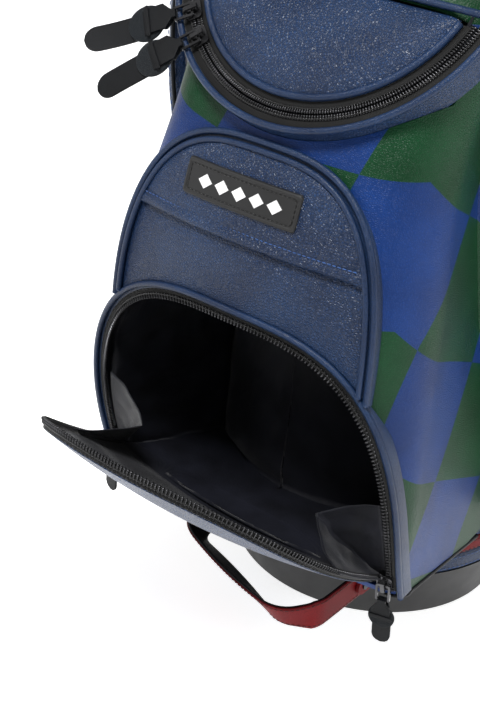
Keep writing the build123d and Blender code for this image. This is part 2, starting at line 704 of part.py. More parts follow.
with BuildPart() as grab:
    with BuildLine():
        FilletPolyline((-62, COLLAR_R * 0.86 - 1, 866), (-54, COLLAR_R + 34, 862), (54, COLLAR_R + 34, 862),
                       (62, COLLAR_R * 0.86 - 1, 866), radius=22)
    with BuildSketch(Plane(origin=(-62, COLLAR_R * 0.86 - 1, 866), z_dir=(8, 55.4, -4))):
        Ellipse(7, 10)
    sweep()
    add(ring(0.1, COLLAR_R + 0.6, 800, 930), mode=Mode.SUBTRACT)
write(grab, "collar_handle")

tube_in = TUBE_R - TUBE_WALL
with BuildPart() as divider_frame:
    add(ring(DIVIDER_IN_R, tube_in - GAP, *DIVIDER_Z))
write(divider_frame, "divider_frame")

with BuildPart() as divider_bars:
    with BuildSketch(Plane.XY.offset(DIVIDER_Z[0])):
        Circle(DIVIDER_IN_R - 0.2)
        with BuildSketch(mode=Mode.INTERSECT):
            Rectangle(BAR_W, 2 * DIVIDER_IN_R)
            for side in (-1, 1):
                with Locations((side * (DIVIDER_IN_R / 2 + BAR_W / 2 + 0.1), CELL_Y),
                               (side * (DIVIDER_IN_R / 2 + BAR_W / 2 + 0.1), -CELL_Y)):
                    Rectangle(DIVIDER_IN_R, BAR_W)
    extrude(amount=DIVIDER_Z[1] - DIVIDER_Z[0])
write(divider_bars, "divider_bars")

with BuildPart() as divider_sheets:
    with BuildSketch(Plane.XY.offset(TUBE_FOOT_Z + 1)):
        Circle(tube_in - 1)
        with BuildSketch(mode=Mode.INTERSECT):
            Rectangle(SHEET_W, 2 * tube_in)
            for side in (-1, 1):
                across = side * (tube_in / 2 + SHEET_W * 0.75)
                with Locations((across, CELL_Y), (across, -CELL_Y)):
                    Rectangle(tube_in, SHEET_W)
    extrude(amount=DIVIDER_Z[0] - TUBE_FOOT_Z - 1.4)
write(divider_sheets, "divider_sheets")

# ------------------------------------------------------------------ strap, carry handle, lift handle
strap_out = Vector(1, 0, 0).rotate(Axis.Z, STRAP_ANGLE)
strap_along = Vector(1, 0, 0).rotate(Axis.Z, STRAP_ANGLE + 90)


def strap_plane(out, z):
    """A plane at a height on the strap's side; x outwards from the bag, y round it, z up."""
    return Plane(origin=strap_out * out + Vector(0, 0, z), x_dir=strap_out, z_dir=(0, 0, 1))


# seen from the side: x is the distance from the bag's axis, y is the height
strap_side = Plane(origin=(0, 0, 0), x_dir=strap_out, z_dir=strap_along * -1)

with BuildPart() as spine:
    with BuildSketch(Plane.XY.offset(190)):
        Circle(SKIN_R + 4)
        Circle(SKIN_R + 0.5, mode=Mode.SUBTRACT)
        with BuildSketch(mode=Mode.INTERSECT):
            with Locations(Rotation(0, 0, STRAP_ANGLE) * Pos(150, 0)):
                Rectangle(60, 62)
    extrude(amount=602)
write(spine, "spine_pad")

with BuildPart() as d_rings:
    for hook_z in HOOK_Z:
        with BuildSketch(strap_plane(0, hook_z - 1.8)):
            with Locations(((SKIN_R + 4.7 + SWIVEL_OUT + 1.8) / 2, 0)):
                RectangleRounded(SWIVEL_OUT + 1.8 - SKIN_R - 4.7, 40, 8)
                RectangleRounded(SWIVEL_OUT + 1.8 - SKIN_R - 11.9, 32.8, 5, mode=Mode.SUBTRACT)
        extrude(amount=3.6)
write(d_rings, "strap_d_rings")

with BuildPart() as tabs:
    for hook_z in HOOK_Z:
        with BuildSketch(strap_plane(0, hook_z - 18)):
            with Locations((SKIN_R + 7.9, 0)):
                Rectangle(7.2, 28)
        extrude(amount=36)
        with BuildSketch(strap_plane(0, hook_z - 2.2)):
            with Locations((SKIN_R + 6.7, 0)):
                Rectangle(4.4, 42)
        extrude(amount=4.4, mode=Mode.SUBTRACT)
write(tabs, "strap_tabs")

with BuildPart() as hooks:
    for hook_z, up in ((HOOK_Z[0], 1), (HOOK_Z[1], -1)):
        with BuildSketch(strap_side.offset(-2.2)):
            with Locations((SWIVEL_OUT, hook_z)):
                SlotOverall(38, 14, rotation=90)
                SlotOverall(31, 7, rotation=90, mode=Mode.SUBTRACT)
        extrude(amount=4.4)
        with BuildSketch(strap_plane(SWIVEL_OUT, hook_z + up * 18)):
            Circle(4)
        extrude(amount=up * 12)
write(hooks, "strap_snap_hooks")


def strap_section(low, high, thick, width):
    """A stretch of the bowed strap between two heights."""
    middle, half = sum(HOOK_Z) / 2, (HOOK_Z[1] - HOOK_Z[0]) / 2 - 32

    def bow(z):
        return SWIVEL_OUT + STRAP_BOW * cos(pi / 2 * (z - middle) / half)

    with BuildPart() as stretch:
        with BuildSketch(strap_side.offset(-width / 2)):
            with BuildLine():
                heights = [low + (high - low) * i / 6 for i in range(7)]
                outer = [(bow(z) + thick / 2, z) for z in heights]
                inner = [(bow(z) - thick / 2, z) for z in reversed(heights)]
                Spline(*outer)
                Line(outer[-1], inner[0])
                Spline(*inner)
                Line(inner[-1], outer[0])
            make_face()
        extrude(amount=width)
    return stretch.part


with BuildPart() as strap_pad:
    add(strap_section(*PAD_Z, 11, 64))
    fillet(strap_pad.edges().filter_by(lambda e: e.length > 200), 4)
write(strap_pad, "strap_pad")

with BuildPart() as webbing:
    add(strap_section(HOOK_Z[0] + 38, PAD_Z[0] - 0.4, 3, 36))
    add(strap_section(PAD_Z[1] + 0.4, HOOK_Z[1] - 38, 3, 36))
write(webbing, "strap_webbing")

with BuildPart() as swivels:
    for hook_z, up in ((HOOK_Z[0], 1), (HOOK_Z[1], -1)):
        with BuildSketch(strap_plane(SWIVEL_OUT, hook_z + up * 30.4)):
            Rectangle(9, 40)
        extrude(amount=up * 7.2)
write(swivels, "strap_swivels")

with BuildPart() as handle_mounts:
    for z, up in ((HANDLE_Z[0], 1), (HANDLE_Z[1], -1)):
        with BuildSketch(strap_plane(SKIN_R + 4.4, z - up * 10)):
            with Locations((7, 0)):
                Rectangle(14, 26)
        extrude(amount=up * 8)
        with BuildSketch(strap_plane(SKIN_R + 4.4, z - up * 10)):
            with Locations((1.5, 0)):
                Rectangle(3, 26)
        extrude(amount=-up * 22)
        with BuildSketch(strap_plane(HANDLE_AXIS_OUT, z - up * 3)):
            Circle(3)
        extrude(amount=up * 9)
write(handle_mounts, "carry_handle_mounts")

with BuildPart() as grip:
    low, high = HANDLE_Z[0] - 1.6, HANDLE_Z[1] + 1.6
    with BuildSketch(strap_side.offset(-11)):
        with BuildLine():
            ThreePointArc((HANDLE_AXIS_OUT + 7, low), (HANDLE_AXIS_OUT + HANDLE_REACH, (low + high) / 2),
                          (HANDLE_AXIS_OUT + 7, high))
            Line((HANDLE_AXIS_OUT + 7, high), (HANDLE_AXIS_OUT - 5.5, high))
            ThreePointArc((HANDLE_AXIS_OUT - 5.5, high), (HANDLE_AXIS_OUT + HANDLE_REACH - 17, (low + high) / 2),
                          (HANDLE_AXIS_OUT - 5.5, low))
            Line((HANDLE_AXIS_OUT - 5.5, low), (HANDLE_AXIS_OUT + 7, low))
        make_face()
    extrude(amount=22)
    fillet(grip.edges().filter_by(lambda e: e.length > 120), 5)
    with BuildSketch(strap_plane(HANDLE_AXIS_OUT, low - 1)):
        Circle(3.3)
    extrude(amount=high - low + 2, mode=Mode.SUBTRACT)
write(grip, "carry_handle_grip")

lift_y, lift_z = LIFT_AXIS
with BuildPart() as lift_tabs:
    for side in (-1, 1):
        with BuildSketch(Plane.YZ.offset(side * (LIFT_HALF_W + 3.4) - 1.5)):
            with Locations((lift_y + 8, lift_z)):
                SlotOverall(38, 20)
        extrude(amount=3)
    with BuildSketch(Plane.XY.offset(30)):
        Circle(SKIN_R + 1.2)
    extrude(amount=60, mode=Mode.SUBTRACT)
    with BuildSketch(Plane.YZ.offset(-200)):
        with Locations((lift_y, lift_z)):
            Circle(2.05)
    extrude(amount=400, mode=Mode.SUBTRACT)
write(lift_tabs, "lift_handle_tabs")

with BuildPart() as lift_rivets:
    for side in (-1, 1):
        rivet = Plane(origin=(side * (LIFT_HALF_W - 5.4), lift_y, lift_z), z_dir=(side, 0, 0))
        with BuildSketch(rivet):
            Circle(5)
        extrude(amount=1.5)
        with BuildSketch(rivet.offset(1.5)):
            Circle(2)
        extrude(amount=9.2)
        with BuildSketch(rivet.offset(10.3)):
            Circle(5)
        extrude(amount=1.5)
write(lift_rivets, "lift_handle_rivets")

with BuildPart() as lift_loop:
    wide, thick = LIFT_STRAP
    with BuildSketch(Plane.XY.offset(lift_z - wide / 2)):
        with BuildLine():
            FilletPolyline((-LIFT_HALF_W, lift_y + 12), (-LIFT_HALF_W + 1, lift_y - 44), (50, lift_y - 94),
                           (LIFT_HALF_W - 4, lift_y - 60), (LIFT_HALF_W, lift_y + 12), radius=22)
            offset(amount=thick / 2, side=Side.BOTH)
        make_face()
    extrude(amount=wide)
    # the ends are rounded about the rivets, which pass through them
    with BuildSketch(Plane.YZ.offset(-200)):
        with Locations((lift_y + 20, lift_z)):
            Rectangle(40, 60)
        with Locations((lift_y, lift_z)):
            Circle(wide / 2 - 0.1, mode=Mode.SUBTRACT)
    extrude(amount=400, mode=Mode.SUBTRACT)
    with BuildSketch(Plane.YZ.offset(-200)):
        with Locations((lift_y, lift_z)):
            Circle(2.4)
    extrude(amount=400, mode=Mode.SUBTRACT)
write(lift_loop, "lift_handle_loop")

# ------------------------------------------------------------------ towel ring and umbrella holder
with BuildPart() as towel_tab:
    with BuildSketch(Plane.XY.offset(TOWEL_AXIS[2] - 5)):
        with Locations((0, -SKIN_R - 9)):
            Rectangle(24, 17)
        Circle(SKIN_R + 0.4, mode=Mode.SUBTRACT)
    extrude(amount=44)
    with BuildSketch(Plane.YZ.offset(-20)):
        with Locations((TOWEL_AXIS[1], TOWEL_AXIS[2])):
            Circle(2.6)
    extrude(amount=40, mode=Mode.SUBTRACT)
    with BuildSketch(Plane.YZ.offset(-20)):
        with Locations((TOWEL_AXIS[1] - 8, TOWEL_AXIS[2] + 22)):
            Rectangle(12, 32)
    extrude(amount=40, mode=Mode.SUBTRACT)
write(towel_tab, "towel_ring_tab")

with BuildPart() as towel_ring:
    with BuildSketch(Plane.XZ.offset(-TOWEL_AXIS[1] - 1.8)):
        with Locations((0, TOWEL_AXIS[2] - 20)):
            RectangleRounded(52, 43.6, 14)
            RectangleRounded(44.8, 36.4, 10.4, mode=Mode.SUBTRACT)
    extrude(amount=3.6)
write(towel_ring, "towel_ring")

with BuildPart() as umbrella:
    shaft = Rotation(0, 0, UMBRELLA_ANGLE) * Pos(UMBRELLA_OUT, 0)
    saddle = Rotation(0, 0, UMBRELLA_ANGLE) * Pos(SKIN_R + 5, 0)
    for low, high in (UMBRELLA_LOOP_Z, UMBRELLA_SLEEVE_Z):
        with BuildSketch(Plane.XY.offset(low)):
            with Locations(saddle):
                Rectangle(14, 20)
            with Locations(shaft):
                Circle(UMBRELLA_R[1])
                Circle(UMBRELLA_R[0], mode=Mode.SUBTRACT)
            Circle(SKIN_R + 0.4, mode=Mode.SUBTRACT)
        extrude(amount=high - low)
    with BuildSketch(Plane.XY.offset(UMBRELLA_SLEEVE_Z[0])):
        with Locations(shaft):
            Circle(UMBRELLA_R[1])
    extrude(amount=-3)
write(umbrella, "umbrella_holders")
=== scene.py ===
import json
from math import asin, cos, exp, pi, radians, sin, sqrt

import bpy
from mathutils import Matrix, Vector, noise

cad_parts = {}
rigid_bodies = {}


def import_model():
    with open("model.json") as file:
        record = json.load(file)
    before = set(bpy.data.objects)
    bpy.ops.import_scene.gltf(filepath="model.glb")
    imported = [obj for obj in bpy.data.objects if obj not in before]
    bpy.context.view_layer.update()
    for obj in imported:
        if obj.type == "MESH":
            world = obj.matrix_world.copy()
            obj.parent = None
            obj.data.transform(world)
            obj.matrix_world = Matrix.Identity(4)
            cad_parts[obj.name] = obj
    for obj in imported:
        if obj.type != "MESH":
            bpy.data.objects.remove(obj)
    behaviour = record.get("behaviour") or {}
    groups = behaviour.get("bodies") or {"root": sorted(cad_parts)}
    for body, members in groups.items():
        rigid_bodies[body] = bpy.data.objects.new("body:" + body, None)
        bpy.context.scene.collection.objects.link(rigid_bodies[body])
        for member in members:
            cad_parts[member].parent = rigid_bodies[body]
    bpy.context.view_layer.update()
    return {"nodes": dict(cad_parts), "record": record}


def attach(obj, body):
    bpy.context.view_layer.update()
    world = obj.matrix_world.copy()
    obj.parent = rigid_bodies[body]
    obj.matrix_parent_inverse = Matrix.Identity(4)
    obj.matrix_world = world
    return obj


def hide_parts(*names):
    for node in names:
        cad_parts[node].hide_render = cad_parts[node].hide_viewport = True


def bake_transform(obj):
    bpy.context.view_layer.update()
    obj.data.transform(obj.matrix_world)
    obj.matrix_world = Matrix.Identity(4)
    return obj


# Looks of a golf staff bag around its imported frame.  Lengths are in millimetres until a
# mesh is made, where MM turns them into metres.
MM = 0.001

for leftover in list(bpy.data.objects):
    bpy.data.objects.remove(leftover)
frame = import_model()
NODES = frame["nodes"]

# ---- sizes that the pieces are made to, from the frame's own part ----
SKIN_R = 146.5
BELLY_Y, BELLY_Z = 260.7, 290.0
FACE_R_UP, FACE_R_ACROSS = 477.0, 650.0
FACE_AXIS_Y = FACE_R_ACROSS - BELLY_Y
BALL_HALF_W, BALL_LOW_Z, BALL_H, BALL_POWER = 144.2, 128.7, 194.9, 3.06
TAPE_EDGE = 9.0
FLAP_OPEN, FLAP_HINGE_Y, FLAP_ZIP_Z = 42.06, -224.6, 158.0
ARCH_HALF_W, ARCH_TOP_Z, ARCH_LOW_Z, ARCH_POWER = 115.5, 451.8, 262.0, 3.02
HEM_Z = 387.8
DOME_TILT, DOME_HINGE = 35.76, Vector((0, -170.4, 561.9))
DOME_RISE, DOME_FLAP_R, DOME_RIM_R = 26.15, 112.0, 136.0
SIDE_X, SIDE_ZIP_Y, SIDE_ZIP_Z = 192.0, 8.0, (160.0, 650.0)
STRAP_ANGLE = 206.0
LIFT_AXIS, LIFT_HALF_W, LIFT_WIDE = (-139.5, 56.0), 80.0, 28.0


# ------------------------------------------------------------------ shared geometry
def face_y(x, z, out=0.0):
    """Y of the front face, or of a layer that lies out from it."""
    reach = FACE_R_ACROSS - FACE_R_UP + sqrt((FACE_R_UP + out) ** 2 - (z - BELLY_Z) ** 2)
    return FACE_AXIS_Y - sqrt(reach**2 - x**2)


def on_face(x, z, out=0.0):
    return Vector((x, face_y(x, z, out), z))


def arch_half(z, half, low, rise, power):
    """Half width of an arched outline at height z."""
    if z <= low:
        return half
    return half * max(0.0, 1 - ((z - low) / rise) ** power) ** (1 / power)


def arch_top(x, half, low, rise, power):
    """Height of an arched outline at x."""
    return low + rise * max(0.0, 1 - (abs(x) / half) ** power) ** (1 / power)


def evenly(points, step=3.0, count=None):
    """The points of a line, spaced out evenly: about step apart, or count spaces in all."""
    marks = [0.0]
    for a, b in zip(points, points[1:]):
        marks.append(marks[-1] + (b - a).length)
    count = count or max(2, round(marks[-1] / step))
    spaced, at = [], 0
    for i in range(count + 1):
        want = marks[-1] * i / count
        while at < len(points) - 2 and marks[at + 1] < want:
            at += 1
        span = max(marks[at + 1] - marks[at], 1e-9)
        spaced.append(points[at].lerp(points[at + 1], (want - marks[at]) / span))
    return spaced


def arch_line(half, low, rise, power, foot, step=3.0, count=None):
    """An arched outline as (x, 0, z) points from its left foot over to its right."""
    fine = [Vector((-half, 0, foot))]
    for i in range(241):
        turn = pi * (1 - i / 240)
        side = 1 if turn < pi / 2 else -1
        fine.append(Vector((side * half * abs(cos(turn)) ** (2 / power), 0,
                            low + rise * abs(sin(turn)) ** (2 / power))))
    fine.append(Vector((half, 0, foot)))
    return evenly(fine, step, count)


def ball_line(offset, foot=BALL_LOW_Z, step=3.0, count=None):
    return arch_line(BALL_HALF_W + offset, BALL_LOW_Z, BALL_H + offset, BALL_POWER, foot, step, count)


def slip_line(offset, step=3.0):
    return arch_line(ARCH_HALF_W + offset, ARCH_LOW_Z, ARCH_TOP_Z - ARCH_LOW_Z + offset,
                     ARCH_POWER, ARCH_LOW_Z, step)


def inside_ball(p, offset):
    rise = BALL_H + offset
    return p.z < BALL_LOW_Z or abs(p.x) < arch_half(p.z, BALL_HALF_W + offset, BALL_LOW_Z, rise,
                                                   BALL_POWER) if p.z < BALL_LOW_Z + rise else False


def opened(p, share=1.0):
    """A point of the closed ball pocket flap, turned to where the flap hangs open."""
    turn = radians(FLAP_OPEN) * share
    y, z = p.y - FLAP_HINGE_Y, p.z - BALL_LOW_Z
    return Vector((p.x, FLAP_HINGE_Y + y * cos(turn) - z * sin(turn),
                   BALL_LOW_Z + y * sin(turn) + z * cos(turn)))


tilt = radians(DOME_TILT)
DOME_OUT = Vector((0, -cos(tilt), sin(tilt)))
DOME_UP = Vector((0, sin(tilt), cos(tilt)))


def on_dome(x, y, out=0.0):
    """A point of the dome pocket's plane; y is measured upwards from the hinge."""
    return DOME_HINGE + Vector((x, 0, 0)) + DOME_UP * y + DOME_OUT * out


# ------------------------------------------------------------------ making meshes
def new_object(name, verts, faces, material, uvs=None, smooth=True):
    mesh = bpy.data.meshes.new(name)
    mesh.from_pydata([tuple(c * MM for c in v) for v in verts], [], faces)
    if uvs:
        layer = mesh.uv_layers.new(name="UVMap")
        for loop in mesh.loops:
            layer.data[loop.index].uv = uvs[loop.vertex_index]
    for polygon in mesh.polygons:
        polygon.use_smooth = smooth
    mesh.materials.append(material)
    piece = bpy.data.objects.new(name, mesh)
    bpy.context.collection.objects.link(piece)
    return piece


def freeze(piece):
    """Apply every modifier of a piece."""
    bpy.context.view_layer.update()
    shaped = bpy.data.meshes.new_from_object(
        piece.evaluated_get(bpy.context.evaluated_depsgraph_get()))
    piece.modifiers.clear()
    piece.data = shaped
    return piece


def thicken(piece, thick, offset=0.0, bevel=0.0):
    shell = piece.modifiers.new("thickness", "SOLIDIFY")
    shell.thickness = thick * MM
    shell.offset = offset
    if bevel:
        soft = piece.modifiers.new("edges", "BEVEL")
        soft.width = bevel * MM
        soft.segments = 2
        soft.limit_method = "ANGLE"
    return freeze(piece)


def sheet_of(name, rows, material, thick=0.0, offset=0.0, closed=False):
    """A surface through rows of points, with UVs in metres along and across the rows."""
    count = len(rows[0])
    verts = [p for row in rows for p in row]
    uvs, across = [], 0.0
    for i, row in enumerate(rows):
        if i:
            across += (row[count // 2] - rows[i - 1][count // 2]).length * MM
        along = 0.0
        for j, p in enumerate(row):
            if j:
                along += (p - row[j - 1]).length * MM
            uvs.append((along, across))
    last = count if closed else count - 1
    faces = [(i * count + j, i * count + (j + 1) % count, (i + 1) * count + (j + 1) % count,
              (i + 1) * count + j) for i in range(len(rows) - 1) for j in range(last)]
    piece = new_object(name, verts, faces, material, uvs)
    return thicken(piece, thick, offset) if thick else piece


def directions(points, closed=False):
    count = len(points)
    for i, p in enumerate(points):
        before = points[(i - 1) % count] if closed or i else p
        after = points[(i + 1) % count] if closed or i < count - 1 else p
        yield (after - before).normalized()


def tube(name, points, radius, material, closed=False, around=12, up=None, flat=1.0):
    """A round cord along a line of points; flat below 1 presses it along up."""
    up = up or Vector((0, -1, 0))
    verts, faces, uvs, along = [], [], [], 0.0
    for i, (p, ahead) in enumerate(zip(points, directions(points, closed))):
        aside = ahead.cross(up).normalized()
        lift = aside.cross(ahead).normalized()
        if i:
            along += (p - points[i - 1]).length
        for j in range(around):
            turn = 2 * pi * j / around
            verts.append(p + aside * radius * cos(turn) + lift * radius * flat * sin(turn))
            uvs.append((along * MM, j / around * 2 * pi * radius * MM))
    count = len(points)
    for i in range(count if closed else count - 1):
        for j in range(around):
            k, m = (i + 1) % count, (j + 1) % around
            faces.append((i * around + j, i * around + m, k * around + m, k * around + j))
    if not closed:
        faces.append(tuple(range(around)))
        faces.append(tuple(reversed(range((count - 1) * around, count * around))))
    return new_object(name, verts, faces, material, uvs)


def bars(name, places, material, around=8):
    """Many small rounded bars in one mesh: each place is (start, end, up, radii)."""
    verts, faces = [], []
    for start, end, up, radii in places:
        ahead = (end - start).normalized()
        aside = ahead.cross(up).normalized()
        lift = aside.cross(ahead)
        first = len(verts)
        rings = len(radii)
        for i, (wide, high) in enumerate(radii):
            p = start.lerp(end, i / (rings - 1))
            for j in range(around):
                turn = 2 * pi * j / around
                verts.append(p + aside * wide * cos(turn) + lift * high * sin(turn))
        for i in range(rings - 1):
            for j in range(around):
                m = (j + 1) % around
                faces.append((first + i * around + j, first + i * around + m,
                              first + (i + 1) * around + m, first + (i + 1) * around + j))
        faces.append(tuple(first + j for j in reversed(range(around))))
        faces.append(tuple(first + (rings - 1) * around + j for j in range(around)))
    return new_object(name, verts, faces, material)


STITCH = [(0.18, 0.15), (0.38, 0.3), (0.42, 0.34), (0.38, 0.3), (0.18, 0.15)]


def stitches(name, points, material, up, length=3.4, gap=1.3, size=1.0, closed=False):
    """A row of separate stitches along a line; up is a direction or a function of place."""
    spaced = evenly(points + points[:1] if closed else points, length + gap)
    places = []
    for a, b in zip(spaced, spaced[1:]):
        away = up(a) if callable(up) else up
        ahead = (b - a).normalized()
        end = a + ahead * length
        places.append((a + away * 0.1, end + away * 0.1, away, [(w * size, h * size) for w, h in STITCH]))
    return bars(name, places, material, around=6)


TOOTH = [(0.5, 1.0), (0.78, 1.5), (0.62, 1.35), (0.6, 1.25), (0.82, 1.65), (0.86, 1.7), (0.45, 1.0)]


def teeth(name, outer, inner, ups, material, lift=0.0):
    """A row of zip teeth, each a bent bar of the coil that runs from outer to inner."""
    places = []
    for a, b, up in zip(outer, inner, ups):
        places.append((a + up * lift, b + up * lift, up, TOOTH))
    return bars(name, places, material)


# ------------------------------------------------------------------ materials
def material(name):
    made = bpy.data.materials.new(name)
    made.use_nodes = True
    nodes = made.node_tree.nodes
    return made, nodes, made.node_tree.links, nodes["Principled BSDF"]


def add_node(nodes, kind, **settings):
    made = nodes.new(kind)
    for key, value in settings.items():
        if key.startswith("in_"):
            made.inputs[key[3:].replace("_", " ")].default_value = value
        else:
            setattr(made, key, value)
    return made


def place_of(nodes):
    return add_node(nodes, "ShaderNodeTexCoord").outputs["Object"]


def math(nodes, links, operation, a, b=None, c=None):
    made = add_node(nodes, "ShaderNodeMath", operation=operation)
    for i, value in enumerate((a, b, c)):
        if value is None:
            continue
        if isinstance(value, (int, float)):
            made.inputs[i].default_value = value
        else:
            links.new(value, made.inputs[i])
    return made.outputs[0]


def mottled(nodes, links, place, dark, light, scale, low=0.35, high=0.65):
    """A colour that drifts between two over a noise of the given scale."""
    cloud = add_node(nodes, "ShaderNodeTexNoise", in_Scale=scale, in_Detail=4.0)
    links.new(place, cloud.inputs["Vector"])
    ramp = add_node(nodes, "ShaderNodeValToRGB")
    ramp.color_ramp.elements[0].position, ramp.color_ramp.elements[1].position = low, high
    ramp.color_ramp.elements[0].color = (*dark, 1)
    ramp.color_ramp.elements[1].color = (*light, 1)
    links.new(cloud.outputs["Fac"], ramp.inputs["Fac"])
    return ramp.outputs["Color"]


def pebbles(nodes, links, place, size=1.5, depth=0.22, fine=0.5):
    """Bump of pebbled leather: rounded cells with creases between, over a finer grain."""
    warp = add_node(nodes, "ShaderNodeTexNoise", in_Scale=260.0, in_Detail=2.0)
    links.new(place, warp.inputs["Vector"])
    shift = add_node(nodes, "ShaderNodeVectorMath", operation="MULTIPLY_ADD")
    shift.inputs[1].default_value = (0.0011,) * 3
    links.new(warp.outputs["Color"], shift.inputs[0])
    links.new(place, shift.inputs[2])
    cells = add_node(nodes, "ShaderNodeTexVoronoi", feature="DISTANCE_TO_EDGE", in_Scale=1000 / size)
    links.new(shift.outputs[0], cells.inputs["Vector"])
    rounded = add_node(nodes, "ShaderNodeMapRange", interpolation_type="SMOOTHSTEP")
    rounded.inputs["From Max"].default_value = 0.34
    links.new(cells.outputs["Distance"], rounded.inputs["Value"])
    grain = add_node(nodes, "ShaderNodeTexNoise", in_Scale=2600.0, in_Detail=3.0)
    links.new(place, grain.inputs["Vector"])
    height = math(nodes, links, "MULTIPLY_ADD", grain.outputs["Fac"], 0.25 * fine, rounded.outputs[0])
    bump = add_node(nodes, "ShaderNodeBump", in_Strength=0.9, in_Distance=depth * MM)
    links.new(height, bump.inputs["Height"])
    return bump.outputs["Normal"], rounded.outputs[0]


def leather(name, dark, light, rough=0.42, size=1.5, depth=0.32, sheen=0.0, coat=0.0,
            metal=0.0, gloss=0.16):
    made, nodes, links, shader = material(name)
    place = place_of(nodes)
    tint = mottled(nodes, links, place, dark, light, 18.0)
    normal, cell = pebbles(nodes, links, place, size, depth)
    # painted shade: the tint is darkened towards dark grey in the creases between the pebbles
    crease_shade = add_node(nodes, "ShaderNodeMix", data_type="RGBA", blend_type="MULTIPLY")
    links.new(math(nodes, links, "MULTIPLY_ADD", cell, -0.6, 0.6), crease_shade.inputs["Factor"])
    links.new(tint, crease_shade.inputs["A"])
    crease_shade.inputs["B"].default_value = (0.1, 0.1, 0.12, 1)
    links.new(crease_shade.outputs["Result"], shader.inputs["Base Color"])
    links.new(normal, shader.inputs["Normal"])
    cloud = add_node(nodes, "ShaderNodeTexNoise", in_Scale=40.0, in_Detail=3.0)
    links.new(place, cloud.inputs["Vector"])
    links.new(math(nodes, links, "MULTIPLY_ADD", cloud.outputs["Fac"], 0.16, rough - 0.08),
              shader.inputs["Roughness"])
    shader.inputs["Sheen Weight"].default_value = sheen
    shader.inputs["Specular IOR Level"].default_value = gloss
    shader.inputs["Coat Weight"].default_value = coat
    shader.inputs["Coat Roughness"].default_value = 0.3
    shader.inputs["Metallic"].default_value = metal
    return made


def woven(name, dark, light, pitch=0.5, rough=0.6, depth=0.12, sheen=0.2, slant=0.0, coat=0.0):
    """Woven cloth: two crossing sets of threads, by place or, with slant, in chevrons by UV."""
    made, nodes, links, shader = material(name)
    place = place_of(nodes)
    split = add_node(nodes, "ShaderNodeSeparateXYZ")
    if slant:
        links.new(add_node(nodes, "ShaderNodeTexCoord").outputs["UV"], split.inputs[0])
        rib = math(nodes, links, "PINGPONG", split.outputs[1], slant * MM)
        phase = math(nodes, links, "MULTIPLY_ADD", rib, 1.1, split.outputs[0])
        wave = math(nodes, links, "SINE", math(nodes, links, "MULTIPLY", phase, 2 * pi / (pitch * MM)))
        height = math(nodes, links, "MULTIPLY_ADD", wave, 0.5, 0.5)
    else:
        links.new(place, split.inputs[0])
        waves = []
        level = math(nodes, links, "ADD", split.outputs[0], split.outputs[1])
        for axis in (level, split.outputs[2]):
            waves.append(math(nodes, links, "SINE",
                              math(nodes, links, "MULTIPLY", axis, 2 * pi / (pitch * MM))))
        height = math(nodes, links, "MULTIPLY", waves[0], waves[1])
    bump = add_node(nodes, "ShaderNodeBump", in_Strength=0.7, in_Distance=depth * MM)
    links.new(height, bump.inputs["Height"])
    links.new(bump.outputs["Normal"], shader.inputs["Normal"])
    links.new(mottled(nodes, links, place, dark, light, 30.0), shader.inputs["Base Color"])
    shader.inputs["Roughness"].default_value = rough
    shader.inputs["Specular IOR Level"].default_value = 0.25
    shader.inputs["Sheen Weight"].default_value = sheen
    shader.inputs["Sheen Roughness"].default_value = 0.4
    shader.inputs["Coat Weight"].default_value = coat
    return made


def moulded(name, dark, light, rough=0.5, grain=900.0, depth=0.08, metal=0.0, low=0.35, high=0.65):
    """Moulded plastic or painted metal with a fine grain and worn variation."""
    made, nodes, links, shader = material(name)
    place = place_of(nodes)
    links.new(mottled(nodes, links, place, dark, light, 25.0, low, high), shader.inputs["Base Color"])
    speck = add_node(nodes, "ShaderNodeTexNoise", in_Scale=grain, in_Detail=5.0)
    links.new(place, speck.inputs["Vector"])
    bump = add_node(nodes, "ShaderNodeBump", in_Strength=0.6, in_Distance=depth * MM)
    links.new(speck.outputs["Fac"], bump.inputs["Height"])
    links.new(bump.outputs["Normal"], shader.inputs["Normal"])
    cloud = add_node(nodes, "ShaderNodeTexNoise", in_Scale=60.0, in_Detail=3.0)
    links.new(place, cloud.inputs["Vector"])
    links.new(math(nodes, links, "MULTIPLY_ADD", cloud.outputs["Fac"], 0.2, rough - 0.1),
              shader.inputs["Roughness"])
    shader.inputs["Metallic"].default_value = metal
    return made


BLUE = ((0.002, 0.022, 0.115), (0.004, 0.036, 0.18))
GREEN = ((0.001, 0.032, 0.009), (0.003, 0.052, 0.016))
NAVY = ((0.008, 0.024, 0.072), (0.014, 0.04, 0.11))


